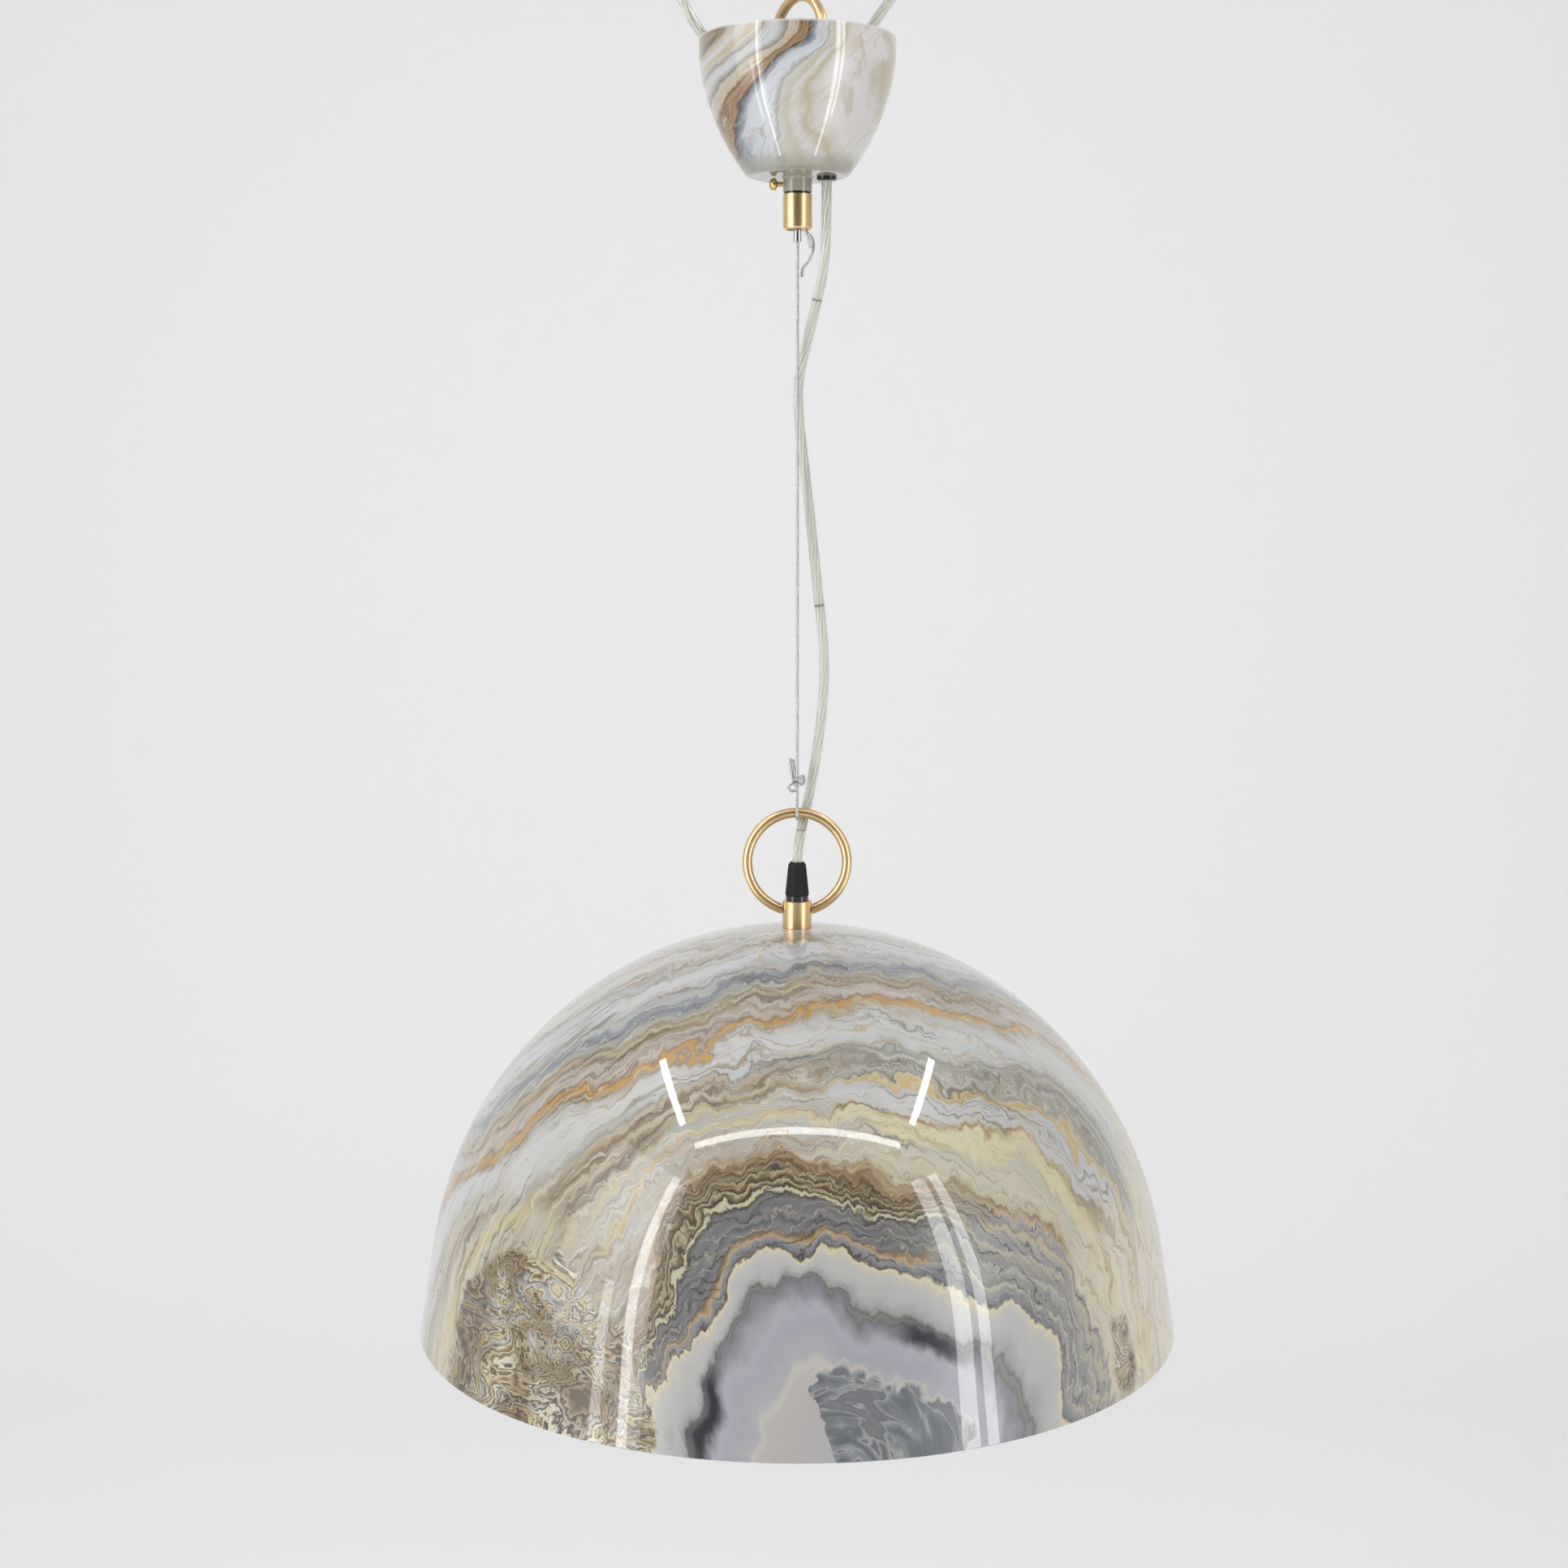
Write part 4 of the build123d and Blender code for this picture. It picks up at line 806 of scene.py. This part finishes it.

# %% Threads, veins and blotches on the canopy, painted shade at its foot and a painted highlight at its rim
threads = beside / (2.2 * MM) + centred(long_grain(along, across, y, (0.060, 0.012, 0.060), detail=1), 2.2)
presence = long_grain(along, across, y, (0.050, 0.008, 0.050), detail=1)
thin_dark = fine_lines(threads, 0.18) * smooth(presence, 0.44, 0.58) * smooth(beside, 14 * MM, 4 * MM) * 0.60
veins = long_grain(along, across, y, (0.110, 0.016, 0.090), detail=2)
thin_tan = calc("MAXIMUM", smooth(abs(veins - 0.45), 0.016, 0.0), smooth(abs(veins - 0.57), 0.022, 0.0))
blotches = long_grain(x, z, y, (0.011, 0.030, 0.030), detail=4, roughness=0.55)
blotches = smooth(blotches, 0.52, 0.62) * smooth(x, 14 * MM, 26 * MM) * 0.65
# Darker greenish grey towards the foot: partly the neck's own paint, partly painted shade on the underside.
foot_paint_and_shade = smooth(z, -75 * MM, -86 * MM)
# A pale band along the top edge is a painted highlight of the rim.
painted_rim_highlight = smooth(z, -19.9 * MM, -19.0 * MM)
for share, mark_colour in (
        (thin_dark, (0.20, 0.17, 0.13, 1)), (thin_tan * 0.35, (0.45, 0.38, 0.24, 1)),
        (blotches, (0.47, 0.41, 0.28, 1)), (foot_paint_and_shade * 0.9, (0.31, 0.30, 0.235, 1)),
        (painted_rim_highlight * 0.7, (0.66, 0.65, 0.62, 1))):
    colour = mixed(share, colour, mark_colour)

# %% White inside the cup
# The cup's side is a large arc round a point beside it, and its rim is straight.
SIDE_ARC, SIDE_ARC_X, SIDE_ARC_Z = 116.7 * MM, 65.66 * MM, -13.75 * MM
CUP_RADIUS, CUP_WALL = 50 * MM, 0.62 * MM
FLOOR_RADIUS, FLOOR_INSIDE_Z, SIDE_FOOT_Z = 21 * MM, -85.8 * MM, -82 * MM

from_axis = off_axis(x, y)
side_x = calc("SQRT", SIDE_ARC ** 2 - (z + -SIDE_ARC_Z) ** 2.0) - SIDE_ARC_X
depth = from_axis - calc("MINIMUM", side_x, CUP_RADIUS)
inside_side = (depth < -CUP_WALL) * (z > SIDE_FOOT_Z)
on_floor = (from_axis < FLOOR_RADIUS) * (z > FLOOR_INSIDE_Z)
inside_cup = calc("MAXIMUM", inside_side, on_floor)
finish_with(shader, Base_Color=mixed(inside_cup, colour, WHITE_ENAMEL), **CLEAR_COAT)
print("canopy nodes", len(marble_canopy.node_tree.nodes))

# %% Marble on the shade and the canopy
def paint_node(node, material):
    """Gives a CAD solid its material, without touching its mesh."""
    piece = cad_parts[node]
    if not piece.material_slots:
        piece.data.materials.append(material)
    for slot in piece.material_slots:
        slot.link = "OBJECT"
        slot.material = material


paint_node("dome_shade", marble_shade)
paint_node("canopy_cup", marble_canopy)

# %% [markdown]
# ## Metals and plastics
# The rings, bosses and sleeve have the same satin champagne finish. The wire and gripper are bare steel, the
# clamping screw is brass, and the cord grip is matte dark plastic. Fine noise in the roughness and a very
# low bump keep them from looking like paint.

# %% Metals
BRUSHING_GRAIN, TONE_GRAIN = 260.0, 40.0


def metal(name, colour, roughness, brush_scale, brush_depth, variation=0.06):
    """Metal with fine brushing round the vertical axis and a slight change of tone."""
    material, shader = new_material(name)
    place = object_place(shader)
    brushing = grain(put("Mapping", {"Vector": place, "Scale": (1.0, 1.0, brush_scale)}), BRUSHING_GRAIN,
                     detail=3)
    tone = scaled(grain(place, TONE_GRAIN, detail=2) - 0.5, variation, 1.0)
    finish_with(shader, Base_Color=vector_calc("SCALE", colour, scale=tone), Metallic=1.0,
                Roughness=scaled(brushing, 0.12, roughness - 0.06))
    bump(shader, brushing, brush_depth)
    return material


satin_gold = metal("satin_gold", (0.87, 0.62, 0.34), 0.35, 6.0, 0.00001)
bright_steel = metal("bright_steel", (0.58, 0.58, 0.59), 0.27, 1.0, 0.000005)
wire_steel = metal("wire_steel", (0.60, 0.60, 0.61), 0.27, 1.0, 0.000003)
brass = metal("brass", (0.68, 0.48, 0.20), 0.25, 1.0, 0.00001)

# %% Plastics and porcelain
PLASTIC_GRAIN, PLASTIC_TONE_GRAIN, DARKEST_TONE = 900.0, 55.0, 0.82


def plastic(name, colour, roughness, coat=0.0, depth=0.00002, shine=0.5):
    material, shader = new_material(name)
    place = object_place(shader)
    dark = tuple(DARKEST_TONE * value for value in colour[:3]) + (1.0,)
    finish_with(shader, Base_Color=mixed(grain(place, PLASTIC_TONE_GRAIN, detail=3), dark, colour),
                Roughness=roughness, Specular_IOR_Level=shine, Coat_Weight=coat, Coat_Roughness=0.05)
    bump(shader, grain(place, PLASTIC_GRAIN), depth)
    return material


black_gloss = plastic("black_gloss", (0.012, 0.012, 0.013, 1), 0.18, coat=0.5, depth=0.000005)
grey_grip = plastic("grey_grip", (0.014, 0.014, 0.015, 1), 0.62, shine=0.32)
white_plastic = plastic("white_plastic", (0.70, 0.70, 0.66, 1), 0.45)
porcelain = plastic("porcelain", (0.72, 0.70, 0.66, 1), 0.30, coat=0.8)

# %% Which solids have which finish
finishes = {
    satin_gold: ["hanging_ring", "carrying_ring", "head_boss", "shade_boss", "gripper_sleeve"],
    bright_steel: ["stem_tube", "stem_lock_nut", "gripper_body", "gripper_spring", "gripper_plunger",
                   "gripper_balls", "terminal_screws", "shade_washer", "shade_lock_nut", "shade_nipple",
                   "lampholder_lock_screw", "bulb_cap", "bulb_contact"],
    wire_steel: ["wire_tail", "suspension_wire", "wire_knot"],
    brass: ["neck_screw", "terminal_inserts", "earth_tag", "earth_screw", "centre_contact", "side_contact",
            "lampholder_terminals"],
    black_gloss: ["neck_washer", "cord_grommet", "cord_grip_stud", "cord_grip_collet", "lampholder_cap",
                  "lampholder_body", "bulb_insulator"],
    grey_grip: ["cord_grip_cap"],
    white_plastic: ["terminal_block"],
    porcelain: ["lampholder_insert"],
}
for material, nodes in finishes.items():
    for node in nodes:
        paint_node(node, material)
print("finishes", {material.name: len(nodes) for material, nodes in finishes.items()})

# %% Bulb glass
def opal_glass():
    material, shader = new_material("opal_glass")
    cloud = grain(object_place(shader), 30.0)
    finish_with(shader, Base_Color=mixed(cloud, (0.86, 0.86, 0.84, 1), (0.92, 0.92, 0.90, 1)),
                Roughness=0.25, Coat_Weight=0.6, Coat_Roughness=0.03)
    return material


paint_node("bulb_globe", opal_glass())

# %% [markdown]
# ## Dressing the cord
# The run below the canopy crosses four joints, so it is cut where one joint's stretch ends and the next one
# begins, and neighbours share their cut. Each piece between two bodies stays in the shared frame; the last
# one, inside the grip, rides on the shade.

# %% Clear sheath and tinned cores
def clear_sheath():
    material, shader = new_material("clear_sheath")
    place = object_place(shader)
    tint = mixed(grain(place, 60.0), (0.91, 0.94, 0.88, 1), (0.96, 0.97, 0.93, 1))
    finish_with(shader, Base_Color=tint, Roughness=0.08, Transmission_Weight=0.92, IOR=1.45)
    bump(shader, grain(place, 300.0), 0.00003)
    return material


sheath_material = clear_sheath()
core_material = metal("tinned_cores", (0.90, 0.91, 0.85), 0.42, 1.0, 0.00002, variation=0.25)
CORE_STRANDS = {"strands": 6, "circle": 1.45 * MM, "strand_radius": 0.80 * MM, "lay": 0.085, "step": 0.0016,
                "sides": 8}
SHEATH_STRANDS = {"strands": 1, "circle": 0.0, "strand_radius": CORD_RADIUS, "lay": 1.0, "step": 0.002,
                  "sides": 24}


def sheath_and_cores(name, points):
    sheath = wound_strands(name, points, material=sheath_material, **SHEATH_STRANDS)
    cores = wound_strands(name + "_cores", points, material=core_material, **CORE_STRANDS)
    return sheath, cores


def cut_out(mesh, name, top=None, bottom=None):
    """The part of a mesh between two planes, each a (point, direction) pair, with its cuts closed."""
    work = bmesh.new()
    work.from_mesh(mesh)
    for plane, keep_outer in ((top, True), (bottom, False)):
        if plane is None:
            continue
        spot, direction = plane
        everything = work.verts[:] + work.edges[:] + work.faces[:]
        cut = bmesh.ops.bisect_plane(work, geom=everything, plane_co=spot, plane_no=direction,
                                     clear_inner=keep_outer, clear_outer=not keep_outer)
        rim = [item for item in cut["geom_cut"] if isinstance(item, bmesh.types.BMEdge)]
        bmesh.ops.edgeloop_fill(work, edges=rim)
    piece = bpy.data.meshes.new(name)
    work.to_mesh(piece)
    work.free()
    for material in mesh.materials:
        piece.materials.append(material)
    for face in piece.polygons:
        face.use_smooth = True
    return piece


# %% The run below the canopy, cut at the joints
CORD_ENTRY_Z = -0.4396
INNER_STOPS_Z = (-0.45, -0.47, -0.4896)
whole_down = down_points + [Vector((0, 0, z)) for z in INNER_STOPS_Z]
down_sheath, down_cores = sheath_and_cores("down", whole_down)


def cut_at(z):
    """Point and direction of the cord's line where it passes a height."""
    for a, b in zip(whole_down, whole_down[1:]):
        if a.z >= z >= b.z and a.z > b.z:
            return a.lerp(b, (a.z - z) / (a.z - b.z)), (b - a).normalized()
    raise ValueError(z)


# Node, upper and lower cut, and the two bodies that the piece's joint connects.
STRETCHES = [
    ("power_cord_top", None, -0.1475, "canopy", "stem"),
    ("power_cord_upper", -0.1475, -0.3041, "stem", "wire"),
    ("power_cord_lower", -0.3041, -0.4223, "wire", "carrying_ring"),
    ("power_cord_end", -0.4223, CORD_ENTRY_Z, "carrying_ring", "shade"),
    ("power_cord_inner", CORD_ENTRY_Z, None, "shade", None),
]
cord_pieces = {}
for node, high, low, first, second in STRETCHES:
    top = cut_at(high) if high is not None else None
    bottom = cut_at(low) if low is not None else None
    start = top[0] if top else whole_down[0]
    end = bottom[0] if bottom else whole_down[-1]
    pair = []
    for source, label in ((down_sheath, node + "_sheath"), (down_cores, node + "_strands")):
        piece = add_object(label, cut_out(source, label, top, bottom))
        if second:
            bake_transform(piece)
        else:
            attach(piece, first)
        pair.append(piece)
    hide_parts(node)
    cord_pieces[node] = (pair, start, end)
    print(node, len(pair[0].data.polygons), len(pair[1].data.polygons))

# %% The loop over the canopy's rim
loop_sheath, loop_cores = sheath_and_cores("power_cord_loop", loop_points)
for mesh, label in ((loop_sheath, "power_cord_loop_sheath"), (loop_cores, "power_cord_loop_strands")):
    mesh.name = label
    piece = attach(add_object(label, mesh), "canopy")
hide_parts("power_cord_loop")

# %% Path lengths of three pieces of the cord
def path_length(points):
    return sum((b - a).length for a, b in zip(points, points[1:]))


CORD_LENGTHS = {"power_cord_top": 0.0598, "power_cord_upper": 0.1585, "power_cord_lower": 0.1204}
for node, length in CORD_LENGTHS.items():
    (sheath, strands), start, end = cord_pieces[node]
    run = [start] + [point for point in whole_down if start.z > point.z > end.z] + [end]
    extra = [strands]
    if node == "power_cord_lower":
        extra += cord_pieces["power_cord_end"][0] + cord_pieces["power_cord_inner"][0]
    print(node, round(path_length(run), 4))

# %% [markdown]
# ## Wires, spring and cores
# The steel wire is wound from six thin wires. A core wire inside them wouldn't show, so there is none.
# The same tree winds the six round the path of the CAD wire: down to the fork, round the bar of the lower
# ring and back up beside itself. The knot, the two tails and the gripper's spring are wound the same way,
# and the three cores run from the cord's end into the terminals.

# %% Path of the wire
def line_of(*corners):
    """Corners in millimetres as points in metres."""
    return [Vector(corner) * MM for corner in corners]


WIRE_TOP_Z, FORK_Z, RING_BAR_Z, WRAP_RADIUS = -118.9, -394.0, -411.95, 3.48
FORK_BLEND = 1.5
WRAP_STEPS = 24
RETURN_SHARE = 0.74
fork = Vector((0, 0, FORK_Z))
wrap_lean = asin(WRAP_RADIUS / (FORK_Z - RING_BAR_Z))
wire_line = line_of((0, 0, WIRE_TOP_Z), (0, 0, FORK_Z + FORK_BLEND))
for k in range(WRAP_STEPS + 1):
    angle = wrap_lean - (pi + 2 * wrap_lean) * k / WRAP_STEPS
    wire_line.append(Vector((0, -WRAP_RADIUS * cos(angle), RING_BAR_Z + WRAP_RADIUS * sin(angle))) * MM)
back_touch = wire_line[-1] / MM
wire_line.append((back_touch + (fork - back_touch) * RETURN_SHARE) * MM)

# %% Paths of the knot and the tails
TURN_STEPS, BIGHT_STEPS = 28, 10
BIGHT_PLACE, BIGHT_LEAN = Vector((-3.1, 1.6, -385.2)), radians(-10.6)
BIGHT_RADIUS, LEFT_LEG, RIGHT_LEG = 0.85, -10.9, -9.4


def turn_of_wire(centre, radius, tilt):
    """Points round a circle that faces the viewer before it is tilted about X, Y and Z, in degrees."""
    lean = Euler([radians(angle) for angle in tilt]).to_matrix()
    points = []
    for k in range(TURN_STEPS + 1):
        angle = radians(360.0 * k / TURN_STEPS)
        points.append((Vector(centre) + lean @ Vector((radius * cos(angle), 0, radius * sin(angle)))) * MM)
    return points


def bight():
    """A hairpin of wire above the knot, with its two legs down."""
    lean = Matrix.Rotation(BIGHT_LEAN, 3, "Y")
    points = [Vector((-BIGHT_RADIUS, 0, LEFT_LEG))]
    for k in range(BIGHT_STEPS + 1):
        angle = pi - pi * k / BIGHT_STEPS
        points.append(Vector((BIGHT_RADIUS * cos(angle), 0, BIGHT_RADIUS * sin(angle))))
    points.append(Vector((BIGHT_RADIUS, 0, RIGHT_LEG)))
    return [(BIGHT_PLACE + lean @ point) * MM for point in points]


knot_lines = [
    turn_of_wire((0, 0, -394.6), 1.75, (78, 0, 0)), turn_of_wire((0, -0.5, -396.5), 1.87, (102, 0, 0)),
    turn_of_wire((-2.4, -2.5, -398.4), 2.0, (6, 0, 0)), turn_of_wire((2.5, 0.2, -394.9), 2.2, (0, 0, 55)),
    bight()]


def rounded(corners, name):
    return spline_points(name, corners, resolution=12)


tail_lines = [
    rounded([(3.7, 1.6, -110.3), (3.7, 1.6, -112.9), (7.9, 2.8, -116.2), (8.5, 3.2, -122.0),
             (5.6, 2.8, -128.4), (2.0, 2.0, -132.2), (2.4, 1.95, -136.0)], "long_tail"),
    rounded([(3.7, -1.5, -110.3), (3.7, -1.5, -112.7), (5.6, -0.6, -117.0), (6.7, 1.2, -121.6)],
            "short_tail")]

# %% Stranded steel wire
WIRE_STRANDS = {"strands": 6, "circle": 0.49 * MM, "strand_radius": 0.34 * MM, "lay": 9.0 * MM,
                "step": 0.60 * MM, "sides": 6, "material": wire_steel}
for node, runs, body in (("suspension_wire", [wire_line], "wire"), ("wire_knot", knot_lines, "wire"),
                         ("wire_tail", tail_lines, "stem")):
    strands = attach(add_object(node + "_strands", wound_strands(node, *runs, **WIRE_STRANDS)), body)
    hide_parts(node)
    print(node, len(strands.data.polygons))

# %% Spring of the gripper
SPRING_TOP, SPRING_FOOT, SPRING_WIRE = -102.95, -107.45, 0.3
spring_line = line_of((0, 0, SPRING_TOP - SPRING_WIRE), (0, 0, SPRING_FOOT + SPRING_WIRE))
spring = add_object("gripper_spring_coil", wound_strands(
    "gripper_spring_coil", spring_line, strands=1, circle=1.55 * MM, strand_radius=SPRING_WIRE * MM,
    lay=0.95 * MM, step=0.05 * MM, sides=8, material=bright_steel))
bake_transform(spring)
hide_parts("gripper_spring")

# %% Cores in the terminals
# The cores end in the block's bores. Each has a pole's height, a bend and the Y where it runs straight in.
CORE_END_X = -16 + 1.6 - 0.95 - 0.03
CORE_END_Y = 2.5
CORE_CIRCLE, CORE_RADIUS, CORE_LEAD = 1.25, 0.95, 4.5
CORE_BENDS = [(-67.8, (-18.3, 16.0, -67.2), 11.8), (-74.8, (-18.6, 17.0, -72.8), 12.2),
              (-81.8, (-20.0, 18.4, -78.0), 12.8)]
CORE_COLOURS = [("core_brown", (0.10, 0.035, 0.015, 1)), ("core_blue", (0.02, 0.09, 0.30, 1)),
                ("core_earth", (0.16, 0.38, 0.06, 1))]
sheath_end = Vector(LOOP_ROUTE[0])
core_down = (sheath_end - Vector(LOOP_ROUTE[1])).normalized()
core_across = (Vector((1, 0, 0)) - core_down * core_down.x).normalized()
core_aside = core_down.cross(core_across)
for k, ((pole_z, bend_spot, straight_y), (finish, paint)) in enumerate(zip(CORE_BENDS, CORE_COLOURS)):
    name = "cord_core_%d" % k
    angle = 2 * pi * k / len(CORE_BENDS)
    start = sheath_end + core_across * CORE_CIRCLE * cos(angle) + core_aside * CORE_CIRCLE * sin(angle)
    line = rounded([start, start + core_down * CORE_LEAD, bend_spot, (CORE_END_X, straight_y, pole_z),
                    (CORE_END_X, CORE_END_Y, pole_z)], "core_%d" % k)
    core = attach(add_object(name, wound_strands(
        name, line, strands=1, circle=0.0, strand_radius=CORE_RADIUS * MM, lay=1.0, step=0.8 * MM, sides=16,
        material=plastic(finish, paint, 0.4))), "canopy")
    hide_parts("cord_cores")
